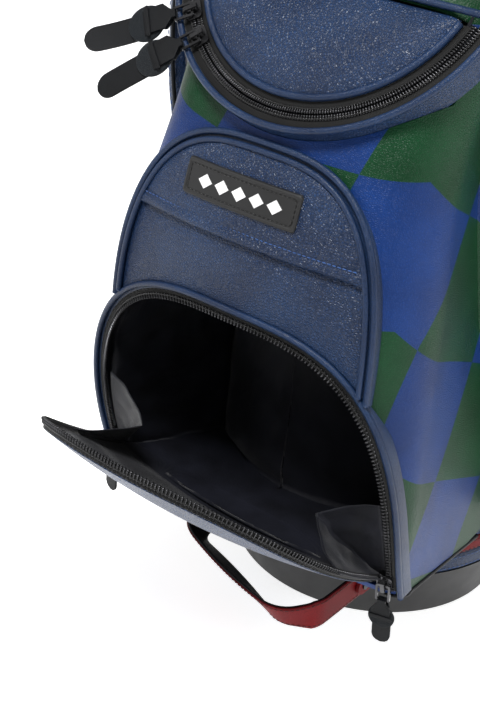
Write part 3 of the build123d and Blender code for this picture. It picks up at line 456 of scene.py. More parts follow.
def checker_leather():
    """Pebbled leather printed with slanted blue and green squares that run round the bag."""
    made, nodes, links, shader = material("checker_leather")
    place = place_of(nodes)
    split = add_node(nodes, "ShaderNodeSeparateXYZ")
    links.new(place, split.inputs[0])
    x, y, z = split.outputs

    def do(operation, *values):
        return math(nodes, links, operation, *values)

    # how far round the bag: across the front and then back along the sides
    fall = do("MULTIPLY", do("POWER", do("SUBTRACT", z, BELLY_Z * MM), 2.0), 0.5 / (FACE_R_UP * MM))
    depth = do("MAXIMUM", do("SUBTRACT", do("ADD", y, BELLY_Y * MM), fall), 0.0)
    side = do("SIGN", x)
    round_bag = do("MULTIPLY_ADD", side, depth, x)
    # rows: level across the front, sloping down towards the back on the right
    drop = do("MULTIPLY", do("MAXIMUM", do("SUBTRACT", round_bag, CHECK_TURN[1]), 0.0), CHECK_SLOPE[1])
    rise = do("MULTIPLY", do("MAXIMUM", do("SUBTRACT", CHECK_TURN[0], round_bag), 0.0), CHECK_SLOPE[0])
    # behind the pockets the squares run level round the cylinder
    behind = do("GREATER_THAN", y, CHECK_BACK_Y)
    ahead = do("SUBTRACT", 1.0, behind)
    turned = do("MULTIPLY_ADD", do("ARCTAN2", x, do("MULTIPLY", y, -1.0)), SKIN_R * MM,
                do("MULTIPLY", do("SIGN", x), CHECK_SIDE))
    round_bag = do("ADD", do("MULTIPLY", round_bag, ahead), do("MULTIPLY", turned, behind))
    height = do("SUBTRACT", z, CHECK_Z)
    row = do("DIVIDE", do("MULTIPLY_ADD", do("SUBTRACT", drop, rise), ahead, height), CHECK_ROW)
    # columns lean more towards the back, and the leather's seams stretch them unevenly
    lean = add_node(nodes, "ShaderNodeMapRange")
    for key, value in (("From Min", 0.08), ("From Max", 0.18),
                       ("To Min", CHECK_LEAN[0]), ("To Max", CHECK_LEAN[1])):
        lean.inputs[key].default_value = value
    links.new(round_bag, lean.inputs["Value"])
    upright = do("SUBTRACT", round_bag, do("MULTIPLY", height, do("MULTIPLY", lean.outputs[0], ahead)))
    curve = add_node(nodes, "ShaderNodeFloatCurve")
    marks = curve.mapping.curves[0].points
    for k, (at, column) in enumerate(CHECK_COLUMNS):
        spot = ((at + CHECK_SPAN) / (2 * CHECK_SPAN), (column + 8) / 16)
        if k < 2:
            marks[k].location = spot
        else:
            marks.new(*spot)
    for mark in marks:
        mark.handle_type = "VECTOR"
    curve.mapping.update()
    links.new(do("DIVIDE", do("ADD", upright, CHECK_SPAN), 2 * CHECK_SPAN), curve.inputs["Value"])
    column = do("SUBTRACT", do("MULTIPLY", curve.outputs[0], 16.0), 8.0)
    odd = do("MODULO", do("ABSOLUTE", do("ADD", do("FLOOR", row), do("FLOOR", column))), 2.0)
    blue = mottled(nodes, links, place, *BLUE, 16.0)
    green = mottled(nodes, links, place, *GREEN, 16.0)
    squares = add_node(nodes, "ShaderNodeMix", data_type="RGBA")
    links.new(odd, squares.inputs["Factor"])
    links.new(blue, squares.inputs["A"])
    links.new(green, squares.inputs["B"])
    normal, cell = pebbles(nodes, links, place, 1.6, 0.2)
    # painted shade: the squares are darkened in the creases between the pebbles
    crease_shade = add_node(nodes, "ShaderNodeMix", data_type="RGBA", blend_type="MULTIPLY")
    links.new(do("MULTIPLY_ADD", cell, -0.35, 0.35), crease_shade.inputs["Factor"])
    links.new(squares.outputs["Result"], crease_shade.inputs["A"])
    crease_shade.inputs["B"].default_value = (0.3, 0.3, 0.3, 1)
    links.new(crease_shade.outputs["Result"], shader.inputs["Base Color"])
    links.new(normal, shader.inputs["Normal"])
    shader.inputs["Roughness"].default_value = 0.42
    shader.inputs["Specular IOR Level"].default_value = 0.2
    shader.inputs["Coat Roughness"].default_value = 0.35
    return made


# the squares: height of a row line, row height, where rows start to slope and how much, how
# columns lean, and where round the bag the column lines stand
CHECK_Z, CHECK_ROW = 0.456, 0.1
CHECK_TURN, CHECK_SLOPE = (-0.05, 0.149), (0.15, 0.539)
CHECK_LEAN = (0.3, 0.8)
CHECK_SPAN = 1.2
CHECK_COLUMNS = [(-1.2, -8.0), (1.2, 8.0), (-0.05, 0.0), (0.081, 1.0), (0.27, 2.0), (0.424, 3.0),
                 (0.538, 4.0)]
# behind this Y the squares run round the cylinder, starting this far along the pockets' sides
CHECK_BACK_Y, CHECK_SIDE = -0.055, 0.168

CHECKER = checker_leather()
NAVY_LEATHER = leather("navy_leather", *NAVY, rough=0.36, size=2.0, depth=0.42, gloss=0.34)
NAVY_SMOOTH = leather("navy_piping", *NAVY, rough=0.34, size=1.0, depth=0.12, gloss=0.3)
RED_LEATHER = leather("red_leather", (0.16, 0.001, 0.003), (0.25, 0.003, 0.006), rough=0.5, size=0.9,
                      depth=0.08)
SUEDE = leather("puller_suede", (0.0008, 0.003, 0.006), (0.002, 0.007, 0.012), rough=0.95, size=0.5,
                depth=0.2, sheen=0.15, coat=0.0)
PULL_LEATHER = leather("puller_leather", (0.0015, 0.002, 0.003), (0.004, 0.005, 0.007), rough=0.5,
                       size=0.7, depth=0.08)
LINING = woven("lining_nylon", (0.004, 0.0044, 0.0075), (0.009, 0.0098, 0.016), pitch=0.45, rough=0.45,
               depth=0.06, sheen=0.1)
TAPE = woven("zip_tape", (0.0025, 0.0025, 0.0025), (0.006, 0.006, 0.006), pitch=1.5, rough=0.75,
             depth=0.3, slant=2.3)
WEBBING = woven("webbing", (0.006, 0.006, 0.007), (0.014, 0.014, 0.016), pitch=2.2, rough=0.7, depth=0.35)
TEETH = moulded("zip_teeth", (0.03, 0.03, 0.032), (0.075, 0.075, 0.08), rough=0.3, metal=0.85)
GUNMETAL = moulded("gunmetal", (0.035, 0.035, 0.038), (0.09, 0.09, 0.095), rough=0.26, metal=0.9, depth=0.02)
BOOT = moulded("boot_plastic", (0.003, 0.003, 0.0033), (0.006, 0.006, 0.0066), rough=0.55, depth=0.15)
MOULDING = moulded("moulding_black", (0.004, 0.004, 0.0045), (0.008, 0.008, 0.009), rough=0.42)
RUBBER = moulded("rubber_black", (0.003, 0.003, 0.0033), (0.006, 0.006, 0.0066), rough=0.6, grain=500.0)
TUBE_PLASTIC = moulded("tube_plastic", (0.012, 0.012, 0.013), (0.02, 0.02, 0.022), rough=0.5)
BLUE_THREAD = woven("thread_blue", (0.02, 0.06, 0.2), (0.04, 0.11, 0.32), pitch=0.5, rough=0.5)
BLACK_THREAD = woven("thread_black", (0.004, 0.004, 0.004), (0.008, 0.008, 0.008), pitch=0.5, rough=0.6)
WHITE_PRINT = moulded("emblem_white", (0.7, 0.7, 0.7), (0.8, 0.8, 0.8), rough=0.6)

FINISH = {
    "checker_leather": CHECKER, "navy_leather": NAVY_LEATHER, "red_leather": RED_LEATHER,
    "lining_black": LINING, "zip_black": TAPE, "rubber_black": RUBBER, "slider_metal": GUNMETAL,
    "puller_leather": PULL_LEATHER, "moulding_black": MOULDING, "webbing_black": WEBBING,
    "boot_black": BOOT, "foam_black": LINING, "tube_plastic": TUBE_PLASTIC}
for entry in frame["record"]["subparts"]:
    node = NODES[entry["node"]]
    for held in node.material_slots:
        held.material = FINISH[entry["material_slot"]]


def finish_piece(piece, body, slot, *replaced):
    """Attach a piece to the body it rides on and hide the nodes it stands for; slot is not used."""
    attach(piece, body)
    if replaced:
        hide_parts(*replaced)
    return piece


# ------------------------------------------------------------------ ball pocket: zip, piping
ROW_COUNT = 230
TOOTH_COUNT = 190


def ball_row(offset, out, foot, count=ROW_COUNT, turned=False):
    row = [on_face(p.x, p.z, out) for p in ball_line(offset, foot, count=count)]
    return [opened(p) for p in row] if turned else row


def face_up(p):
    """Outward direction of the face at a point, closed flap or body."""
    step = 4.0
    a = on_face(p.x, p.z)
    across = on_face(p.x + step, p.z) - a
    rising = on_face(p.x, p.z + step) - a
    return across.cross(rising).normalized()


CURL = radians(48)


def curled_row(distance, out, foot, count=ROW_COUNT):
    """A row on the flap's zip edge, which curls inwards from the edge of the flap's panel."""
    edge = ball_line(-9.2, foot, count=count)
    beyond = ball_line(-8.2, foot, count=count)
    row = []
    for p, q in zip(edge, beyond):
        base, up = on_face(p.x, p.z), face_up(p)
        spread = (on_face(q.x, q.z) - base).normalized()
        ahead = spread * cos(CURL) - up * sin(CURL)
        row.append(opened(base + ahead * distance + (up * cos(CURL) + spread * sin(CURL)) * out))
    return row


def half_zip(name, foot, body, turned, *replaced):
    """One side of the ball pocket's zip: herringbone tape, edge cord and teeth."""
    reaches = (9.2, 7.6, 6.0, 4.6, 3.2, 1.9)
    if turned:
        tape_rows = [curled_row(9.2 - r, -1.1, foot) for r in reaches]
    else:
        tape_rows = [ball_row(r, -1.1, foot) for r in reaches]
    tape = sheet_of(f"ball_zip_{name}_tape", tape_rows, TAPE, 0.9)
    finish_piece(tape, body, "zip_black", *replaced)
    if turned:
        flat_outer = curled_row(3.6, -0.6, foot, TOOTH_COUNT)
        flat_inner = curled_row(9.0, -0.6, foot, TOOTH_COUNT)
        lifted = curled_row(3.6, 0.4, foot, TOOTH_COUNT)
        ups = [(q - p).normalized() for p, q in zip(flat_outer, lifted)]
    else:
        flat_outer = ball_row(5.6, -0.6, foot, TOOTH_COUNT)
        flat_inner = ball_row(0.3, -0.6, foot, TOOTH_COUNT)
        ups = [face_up(p) for p in flat_outer]
    row = teeth(f"ball_zip_{name}_teeth", flat_outer, flat_inner, ups, TEETH)
    finish_piece(row, body, "slider_metal")
    cord = [p.lerp(q, 0.22) + u * 1.15 for p, q, u in zip(flat_outer, flat_inner, ups)]
    finish_piece(tube(f"ball_zip_{name}_cord", cord, 0.45, BLACK_THREAD, around=6), body, "zip_black")
    seam = curled_row(1.2, -0.3, foot) if turned else ball_row(7.9, -0.5, foot)
    finish_piece(stitches(f"ball_zip_{name}_seam", seam, BLACK_THREAD, Vector((0, -1, 0))), body, "zip_black")


half_zip("body", BALL_LOW_Z + 2, "bag", False, "ball_zip_body")
half_zip("flap", FLAP_ZIP_Z - 6, "ball_flap", True, "ball_zip_flap")

ball_piping = ball_row(12.2, 1.9, BALL_LOW_Z - 3)
finish_piece(tube("ball_piping", ball_piping, 2.5, NAVY_SMOOTH), "bag", "navy_leather", "pocket_pipings")


def clipped_slip(offset, out):
    row = [p for p in slip_line(offset, 2.5) if not inside_ball(p, TAPE_EDGE + 5.2)]
    return [on_face(p.x, p.z, out) for p in row]


for name, offset, out, radius in (("inner", 1.2, 3.6, 2.3), ("outer", 6.6, 2.2, 2.6)):
    finish_piece(tube(f"slip_{name}_piping", clipped_slip(offset, out), radius, NAVY_SMOOTH),
                 "bag", "navy_leather")


def flange(name, line, profile):
    """The leather that a piping is sewn to, which turns back over the edge of the face."""
    rows = [evenly(line(offset, out), count=220) for offset, out in profile]
    finish_piece(sheet_of(name, rows, NAVY_SMOOTH), "bag", "navy_leather")


flange("ball_flange", lambda offset, out: ball_row(offset, out, BALL_LOW_Z - 3),
       ((8.4, -0.3), (10.4, 0.1), (12.8, 0.1), (13.6, -1.5), (12.8, -12.0)))
flange("slip_flange", clipped_slip,
       ((-2.4, 0.6), (0.8, 0.9), (4.0, 0.9), (7.6, 0.3), (7.8, -2.0), (6.8, -12.0)))


# ------------------------------------------------------------------ slip pocket panels
def slip_half(z):
    return arch_half(z, ARCH_HALF_W - 0.4, ARCH_LOW_Z, ARCH_TOP_Z - ARCH_LOW_Z - 0.4, ARCH_POWER)


def ball_top(x):
    return arch_top(x, BALL_HALF_W + TAPE_EDGE + 5.4, BALL_LOW_Z, BALL_H + TAPE_EDGE + 5.4, BALL_POWER)


def soft_edge(distance, reach=9.0):
    return 1 - exp(-max(distance, 0.0) / reach)


def sag(x, z, size):
    """Slow unevenness of stuffed leather."""
    return size * noise.noise(Vector((x * 0.018, z * 0.022, 3.1)))


SLIP_COLUMNS = 90


def upper_panel():
    """The slip pocket's upper panel, with a rounded hem that laps over the lower one."""
    rows = []
    for drop, out in ((-0.4, 1.6), (-1.2, 2.2), (-1.5, 3.2), (-1.2, 4.1), (-0.3, 4.8)):
        z = HEM_Z + drop
        rows.append([on_face(slip_half(z) * (2 * j / SLIP_COLUMNS - 1), z, out)
                     for j in range(SLIP_COLUMNS + 1)])
    top = ARCH_TOP_Z - 0.5
    steps = 70
    for i in range(steps + 1):
        share = sin(pi / 2 * i / steps)
        z = HEM_Z + 0.8 + (top - HEM_Z - 0.8) * share
        half = max(slip_half(z), 0.3)
        row = []
        for j in range(SLIP_COLUMNS + 1):
            x = half * (2 * j / SLIP_COLUMNS - 1)
            inside = min(half - abs(x), (top - z) * 1.2)
            rise = z - HEM_Z
            hem = 1.4 * exp(-((rise - 3.2) / 3.4) ** 2) - 1.0 * exp(-((rise - 8.0) / 1.5) ** 2)
            row.append(on_face(x, z, 3.0 + 3.2 * soft_edge(inside, 10) + hem + sag(x, z, 0.5)))
        rows.append(row)
    return sheet_of("slip_upper_panel", rows, NAVY_LEATHER)


def lower_panel():
    """The slip pocket's lower panel, between the ball pocket's piping and the hem."""
    junction = ARCH_LOW_Z
    while inside_ball(Vector((slip_half(junction), 0, junction)), TAPE_EDGE + 5.4):
        junction += 1.0
    rows, steps = [], 44
    for i in range(steps + 1):
        side_z = junction + (HEM_Z + 3 - junction) * i / steps
        half = slip_half(side_z)
        row = []
        for j in range(SLIP_COLUMNS + 1):
            x = half * (2 * j / SLIP_COLUMNS - 1)
            z = ball_top(x) + (HEM_Z + 3 - ball_top(x)) * i / steps
            inside = min(half - abs(x), z - ball_top(x))
            tuck = 1.5 * exp(-((HEM_Z - z) / 6) ** 2) if z < HEM_Z else 1.5
            row.append(on_face(x, z, 0.9 + 2.6 * soft_edge(inside, 14) - tuck + sag(x, z, 0.7)))
        rows.append(row)
    return sheet_of("slip_lower_panel", rows, NAVY_LEATHER)


finish_piece(upper_panel(), "bag", "navy_leather", "slip_pocket_upper_panel")
finish_piece(lower_panel(), "bag", "navy_leather", "slip_pocket_lower_panel")
hem_line = [on_face(slip_half(HEM_Z + 8) * (2 * j / 60 - 1) * 0.985, HEM_Z + 8.0, 5.2) for j in range(61)]
finish_piece(stitches("hem_stitches", hem_line, BLUE_THREAD, Vector((0, -1, 0.2)), 3.0, 1.0, 1.2),
             "bag", "navy_leather")

# ------------------------------------------------------------------ rubber label with five diamonds
LABEL_AT, LABEL_SIZE = (-7.0, 422.0), (104.0, 26.0)


def label_point(x, z, out):
    return on_face(LABEL_AT[0] + x, LABEL_AT[1] + z, out)


def label():
    """A moulded rubber patch with a raised rim and a soft edge."""
    half_w, half_h = LABEL_SIZE[0] / 2, LABEL_SIZE[1] / 2
    profile = [(0.0, 5.4), (0.0, 7.4), (0.5, 8.0), (1.6, 8.1), (2.2, 8.0), (2.6, 7.6), (5.0, 7.6)]
    rows = []
    for inset, out in profile:
        wide, high, corner = half_w - inset, half_h - inset, max(1.8 - inset, 0.3)
        loop = []
        for cx, cz, start in ((1, 1, 0), (-1, 1, 90), (-1, -1, 180), (1, -1, 270)):
            for k in range(5):
                turn = radians(start + 22.5 * k)
                loop.append(((wide - corner) * cx + corner * cos(turn),
                             (high - corner) * cz + corner * sin(turn)))
        path = evenly([Vector((a, 0, b)) for a, b in loop + loop[:1]], count=96)[:-1]
        rows.append([label_point(p.x, p.z, out) for p in path])
    patch = sheet_of("label_patch_rubber", rows, RUBBER, closed=True)
    across = []
    for i in range(9):
        z = (half_h - 5.0) * (2 * i / 8 - 1)
        across.append([label_point((half_w - 5.0) * (2 * j / 40 - 1), z, 7.6) for j in range(41)])
    middle = sheet_of("label_middle", across, RUBBER)
    return patch, middle


for piece in label():
    finish_piece(piece, "bag", "rubber_black")
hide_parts("label_patch")
border = []
for a, b in (((-1, -1), (1, -1)), ((1, -1), (1, 1)), ((1, 1), (-1, 1)), ((-1, 1), (-1, -1))):
    for k in range(20):
        x = (a[0] + (b[0] - a[0]) * k / 20) * (LABEL_SIZE[0] / 2 - 3.8)
        z = (a[1] + (b[1] - a[1]) * k / 20) * (LABEL_SIZE[1] / 2 - 3.8)
        border.append(label_point(x, z, 7.7))
finish_piece(stitches("label_stitches", border, BLACK_THREAD, Vector((0, -1, 0.2)), 2.6, 1.2, 1.0, True),
             "bag", "rubber_black")


def emblem():
    """A plain row of raised diamonds."""
    verts, faces = [], []
    for k in range(-2, 3):
        corners = ((-6.5, 0), (0, -5.2), (6.5, 0), (0, 5.2))
        first = len(verts)
        for out in (7.5, 8.2):
            verts += [label_point(k * 16 + a, b, out) for a, b in corners]
        faces.append(tuple(first + 4 + j for j in range(4)))
        faces += [(first + j, first + (j + 1) % 4, first + 4 + (j + 1) % 4, first + 4 + j) for j in range(4)]
    return new_object("label_diamonds", verts, faces, WHITE_PRINT, smooth=False)


finish_piece(emblem(), "bag", "rubber_black")


# ------------------------------------------------------------------ lining, flap lining and gussets
def settle(piece, pinned, frames, cap, inside):
    """Let cloth settle under its own weight, held where pinned, and freeze the result."""
    rest = [v.co.copy() for v in piece.data.vertices]
    held = piece.vertex_groups.new(name="held")
    held.add(pinned, 1.0, "REPLACE")
    cloth = piece.modifiers.new("cloth", "CLOTH")
    cloth.settings.vertex_group_mass = "held"
    cloth.settings.quality = 5
    cloth.settings.mass = 0.12
    cloth.settings.tension_stiffness = 12
    cloth.settings.bending_stiffness = 0.25
    cloth.settings.shrink_min = -0.06
    scene = bpy.context.scene
    scene.frame_start, scene.frame_end = 1, frames
    for step in range(1, frames + 1):
        scene.frame_set(step)
    freeze(piece)
    for v, before in zip(piece.data.vertices, rest):
        moved = v.co - before
        if moved.length > cap * MM:
            moved *= cap * MM / moved.length
        v.co = inside(before + moved)
    scene.frame_set(1)
    for polygon in piece.data.polygons:
        polygon.use_smooth = True


def crumple(p, size, grain=0.03):
    """Creases of thin cloth: ridged noise, signed."""
    a = noise.noise(p * grain)
    b = noise.noise(p * grain * 2.3 + Vector((7, 3, 1)))
    return size * ((1 - 2 * abs(a)) * 0.6 + 0.4 * b)


LINING_R = 155.0
WALL_ROWS, BACK_ROWS, LINING_COUNT = 26, 12, 150


def lining_rows():
    """Rings of the pocket's lining, from the zip's tape back to the body, then over the back wall."""
    rows = []
    for i in range(WALL_ROWS + 1):
        t = i / WALL_ROWS
        swell = 110 * min(1.0, t * 3) ** 2
        half = BALL_HALF_W + 7 - 33 * t**1.3
        low = BALL_LOW_Z + 0.6
        arch = arch_line(half, low + 20, BALL_H - 14 + swell, 3.4, low, count=LINING_COUNT)
        floor_line = evenly([arch[-1], arch[0]], count=50)[1:-1]
        ring = []
        for p in arch + floor_line:
            front = face_y(min(max(p.x, -150), 150), min(p.z, 330), -4.5)
            back = -sqrt(LINING_R**2 - min(abs(p.x), 118) ** 2)
            # on the strap's side the pocket narrows more towards the body
            x = p.x if p.x > 0 else p.x * (BALL_HALF_W + 3 - 53 * t) / half
            q = Vector((x, front + (back - front) * t, p.z))
            q += Vector((-p.x, 0, 0)).normalized() * (abs(crumple(q, 7.0, 0.024)) + 0.5) * min(1, 4 * t)
            ring.append(q)
        rows.append(ring)
    last = rows[-1]
    centre_z = 285.0
    for i in range(1, BACK_ROWS + 1):
        shrink = 1 - i / BACK_ROWS * 0.98
        ring = []
        for p in last:
            x, z = p.x * shrink, centre_z + (p.z - centre_z) * shrink
            y = -sqrt(LINING_R**2 - min(abs(x), 118) ** 2)
            ring.append(Vector((x, y - abs(crumple(Vector((x, 0, z)), 5.0, 0.024)) * min(1, i / 2), z)))
        rows.append(ring)
    return rows


lining = sheet_of("ball_pocket_nylon", lining_rows(), LINING, closed=True)


def in_pocket(p):
    """Keep a lining point inside the pocket's shell and off the body."""
    q = p.copy()
    q.z = max(q.z, (BALL_LOW_Z + 0.3) * MM)
    flat = sqrt(q.x**2 + q.y**2)
    if flat < LINING_R * MM:
        q.x, q.y = q.x * LINING_R * MM / flat, q.y * LINING_R * MM / flat
    return q


settle(lining, list(range(2 * (LINING_COUNT + 50))), 22, 9.0, in_pocket)
finish_piece(lining, "bag", "lining_black", "ball_pocket_lining")


def flap_lining():
    """Black nylon inside the flap, sewn round its edge and slack in the middle."""
    rows, steps, columns = [], 56, 80
    inset = -TAPE_EDGE + 1.6
    top, low = BALL_LOW_Z + BALL_H + inset, BALL_LOW_Z + 0.5
    wide = BALL_HALF_W + inset
    rows.append([Vector((wide * (2 * j / columns - 1), FLAP_HINGE_Y + 22, BALL_LOW_Z + 0.8))
                 for j in range(columns + 1)])
    for i in range(steps + 1):
        z = low + (top - low) * sin(pi / 2 * i / steps)
        half = max(arch_half(z, BALL_HALF_W + inset, BALL_LOW_Z, BALL_H + inset, BALL_POWER), 0.4)
        row = []
        for j in range(columns + 1):
            x = half * (2 * j / columns - 1)
            inside = min(half - abs(x), top - z, z - low)
            slack = soft_edge(inside, 16)
            out = -2.6 - (1.8 + crumple(Vector((x, 0, z)), 2.4, 0.02)) * slack
            row.append(opened(on_face(x, z, out)))
        rows.append(row)
    return sheet_of("ball_flap_nylon", rows, LINING)


inner_lining = flap_lining()
finish_piece(inner_lining, "ball_flap", "lining_black", "ball_flap_lining")


def gusset(side):
    """A side gusset: cloth from the mouth's edge to the flap's edge, folded inwards."""
    rows, steps, columns = [], 40, 26
    for i in range(steps + 1):
        t = i / steps
        z = BALL_LOW_Z + 3 + 84 * t
        half = arch_half(z, BALL_HALF_W - 2, BALL_LOW_Z, BALL_H - 2, BALL_POWER)
        at_body = on_face(side * half, z, -4)
        at_flap = opened(on_face(side * half, z - 12 * t, -4))
        apex = (at_body + at_flap) / 2 + Vector((-side * 52 * t**0.8, 12 * t, -8 * t))
        row = []
        for j in range(columns + 1):
            s = j / columns
            if s < 0.5:
                p = at_body.lerp(apex, s * 2)
            else:
                p = apex.lerp(at_flap, s * 2 - 1)
            fold = sin(pi * s) * t
            p = p + Vector((side * 3.0 * fold * (1 - abs(2 * s - 1)), 0, 0))
            bulge = 5.0 * sin(2 * pi * s) * t
            p += Vector((0.3 * side, 1, 0.4)).normalized() * (crumple(p, 3.4, 0.04) * sin(pi * s) + bulge)
            row.append(p)
        rows.append(row)
    name = "left" if side < 0 else "right"
    piece = sheet_of(f"ball_gusset_{name}", rows, LINING, 0.8)
    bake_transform(piece)
    return piece


gussets = [gusset(side) for side in (-1, 1)]
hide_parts("ball_flap_gussets")


# ------------------------------------------------------------------ dome pocket
DOME_TEETH = 160


def dome_ring(radius, cut, out, count):
    start = asin((DOME_RISE + cut) / radius)
    turns = [pi - start - (pi - 2 * start) * i / count for i in range(count + 1)]
    return [on_dome(radius * cos(t), DOME_RISE - radius * sin(t), out) for t in turns]


for name, radii, tooth, cut, body, node in (
        ("body", (134.6, 132.5, 130.5, 128.4, 126.2), (129.0, 124.3), 3, "bag", "dome_zip_body"),
        ("flap", (121.6, 119.4, 117.4, 115.4, 112.8), (118.9, 123.6), 6, "dome_flap", "dome_zip_flap")):
    rows = [dome_ring(r, cut, 0.0, 200) for r in radii]
    tape = sheet_of(f"dome_zip_{name}_tape", rows, TAPE, 0.9)
    finish_piece(tape, body, "zip_black", node)
    far, near = (dome_ring(r, cut, 0.4, DOME_TEETH) for r in tooth)
    row = teeth(f"dome_zip_{name}_teeth", far, near, [DOME_OUT] * len(far), TEETH)
    finish_piece(row, body, "slider_metal")
    cord = [p.lerp(q, 0.25) + DOME_OUT * 1.3 for p, q in zip(far, near)]
    finish_piece(tube(f"dome_zip_{name}_cord", cord, 0.45, BLACK_THREAD, around=6, up=DOME_OUT), body,
                 "zip_black")

def dome_pouch():
    """The upper pocket's lining, hung from the zip's tape and along the flap's fold."""
    rows = []
    for i in range(25):
        s = i / 24
        row = []
        for j, edge in enumerate(dome_ring(113.0, 6, -4.0, 80)):
            across = edge.x
            p = edge.lerp(on_dome(across, 8.0, -4.0), s)
            depth = 60 * max(0.0, sin(pi * s)) ** 0.45 * max(0.0, sin(pi * j / 80)) ** 0.4
            p -= DOME_OUT * (depth + crumple(p, 4.0, 0.03) * sin(pi * s))
            flat = sqrt(p.x**2 + p.y**2)
            if flat < 152:
                p.x, p.y = p.x * 152 / flat, p.y * 152 / flat
            row.append(p)
        rows.append(row)
    return sheet_of("dome_pocket_nylon", rows, LINING)


pouch = dome_pouch()
finish_piece(pouch, "bag", "lining_black")
finish_piece(tube("dome_rim_piping", dome_ring(DOME_RIM_R + 0.8, 1, 2.0, 200), 2.6, NAVY_SMOOTH,
                  up=DOME_OUT), "bag", "navy_leather", "dome_pipings")
finish_piece(tube("dome_hinge_piping", [on_dome(x, 3.2, 2.6) for x in range(-130, 131, 5)], 2.6,
                  NAVY_SMOOTH, up=DOME_OUT), "bag", "navy_leather")
flap_edge = dome_ring(DOME_FLAP_R + 0.2, 6, 2.7, 180)
finish_piece(tube("dome_flap_edge_piping", flap_edge, 2.7, NAVY_SMOOTH, up=DOME_OUT), "dome_flap",
             "navy_leather", "dome_flap_piping")


def dome_flap():
    """The flap's crowned leather, high in the middle and drawn down to its piping."""
    radius, cut, steps, columns = DOME_FLAP_R - 1.4, -4.0, 60, 90
    low = DOME_RISE - radius
    rows = []
    for i in range(steps + 1):
        y = cut + (low - cut) * sin(pi / 2 * i / steps)
        half = max(sqrt(max(radius**2 - (y - DOME_RISE) ** 2, 0)), 0.4)
        row = []
        for j in range(columns + 1):
            x = half * (2 * j / columns - 1)
            inside = min(radius - sqrt(x * x + (y - DOME_RISE) ** 2), (cut - y) * 0.8 + 3)
            out = 0.9 + 8.2 * soft_edge(inside, 14) + sag(x, y, 0.8)
            row.append(on_dome(x, y, out))
        rows.append(row)
    return sheet_of("dome_flap_leather", rows, NAVY_LEATHER, 2.0, -1)


finish_piece(dome_flap(), "dome_flap", "navy_leather", "dome_flap_panel")


# ------------------------------------------------------------------ apparel pocket zip
SIDE_LOW, SIDE_HIGH = SIDE_ZIP_Z[0] + 6, SIDE_ZIP_Z[1] - 6
OUT_X = Vector((1, 0, 0))


def side_row(y, x):
    return [Vector((x, SIDE_ZIP_Y + y, SIDE_LOW + (SIDE_HIGH - SIDE_LOW) * i / 160)) for i in range(161)]


for side, name in ((-1, "front"), (1, "back")):
    rows = [side_row(side * r, SIDE_X - 1.9) for r in (9.4, 7.4, 5.4, 3.4, 1.8)]
    finish_piece(sheet_of(f"side_zip_{name}_tape", rows, TAPE, 0.9), "bag", "zip_black")
    count = 165
    shift = side * 0.25
    spots = [SIDE_LOW + (SIDE_HIGH - SIDE_LOW) * (i + 0.5 * (side > 0)) / count for i in range(count)]
    far = [Vector((SIDE_X - 1.6, SIDE_ZIP_Y + side * 5.2, z)) for z in spots]
    near = [Vector((SIDE_X - 1.6, SIDE_ZIP_Y + shift, z)) for z in spots]
    finish_piece(teeth(f"side_zip_{name}_teeth", far, near, [OUT_X] * count, TEETH), "bag", "slider_metal")
    edge = [Vector((SIDE_X + 0.6, SIDE_ZIP_Y + side * 11.2, z)) for z in (SIDE_LOW - 4, SIDE_HIGH + 4)]
    finish_piece(stitches(f"side_zip_{name}_seam", evenly(edge, 4), BLUE_THREAD, OUT_X), "bag",
                 "navy_leather")
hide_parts("side_zip")

# ------------------------------------------------------------------ leather pullers
PULLERS = {
    "ball_puller_left": 58.0, "ball_puller_right": 58.0, "dome_puller_left": 88.0, "dome_puller_right": 88.0}


def puller_axes(loop):
    """The frame of a puller, read from its wire loop: origin, along, across and outward."""
    points = [v.co / MM for v in loop.data.vertices]
    middle = sum(points, Vector()) / len(points)
    joint = next(j for j in frame["record"]["behaviour"]["joints"] if j["child"] == BODY_OF[loop.name])
    pivot, across = Vector(joint["pos_m"]) / MM, Vector(joint["axis"]).normalized()
    along = middle - pivot
    along = (along - across * along.dot(across)).normalized()
    return pivot, along, across, along.cross(across).normalized()


BODY_OF = {node: body for body, held in frame["record"]["behaviour"]["bodies"].items() for node in held}


def strip(name, profile, path, material, thick, frame_axes):
    """A leather strip: profile gives (distance, half width) and path the height off the plane."""
    origin, along, across, out = frame_axes
    fine, last = [], profile[-1][0]
    steps = max(12, int(last - profile[0][0]))
    for i in range(steps + 1):
        s = profile[0][0] + (last - profile[0][0]) * i / steps
        for (s0, w0), (s1, w1) in zip(profile, profile[1:]):
            if s0 <= s <= s1 + 1e-6:
                fine.append((s, w0 + (w1 - w0) * (s - s0) / max(s1 - s0, 1e-6)))
                break
    rows = [[origin + along * s + across * (w * (2 * j / 8 - 1)) + out * path(s) for j in range(9)]
            for s, w in fine]
    piece = sheet_of(name, rows, material)
    return thicken(piece, thick, 0.0, 0.45)


def round_end(start, end, wide, neck=None):
    """A strip's outline: straight, with a half-round far end."""
    outline = [(start, neck or wide)]
    if neck:
        outline += [(start + 3, neck), (start + 9, wide)]
    outline += [(end - wide + wide * sin(radians(a)), max(wide * cos(radians(a)), 0.15))
                for a in range(0, 91, 9)]
    return outline


def disc_outline(middle, radius):
    return [(middle - radius * cos(radians(a)), max(radius * sin(radians(a)), 0.2))
            for a in range(0, 181, 10)]


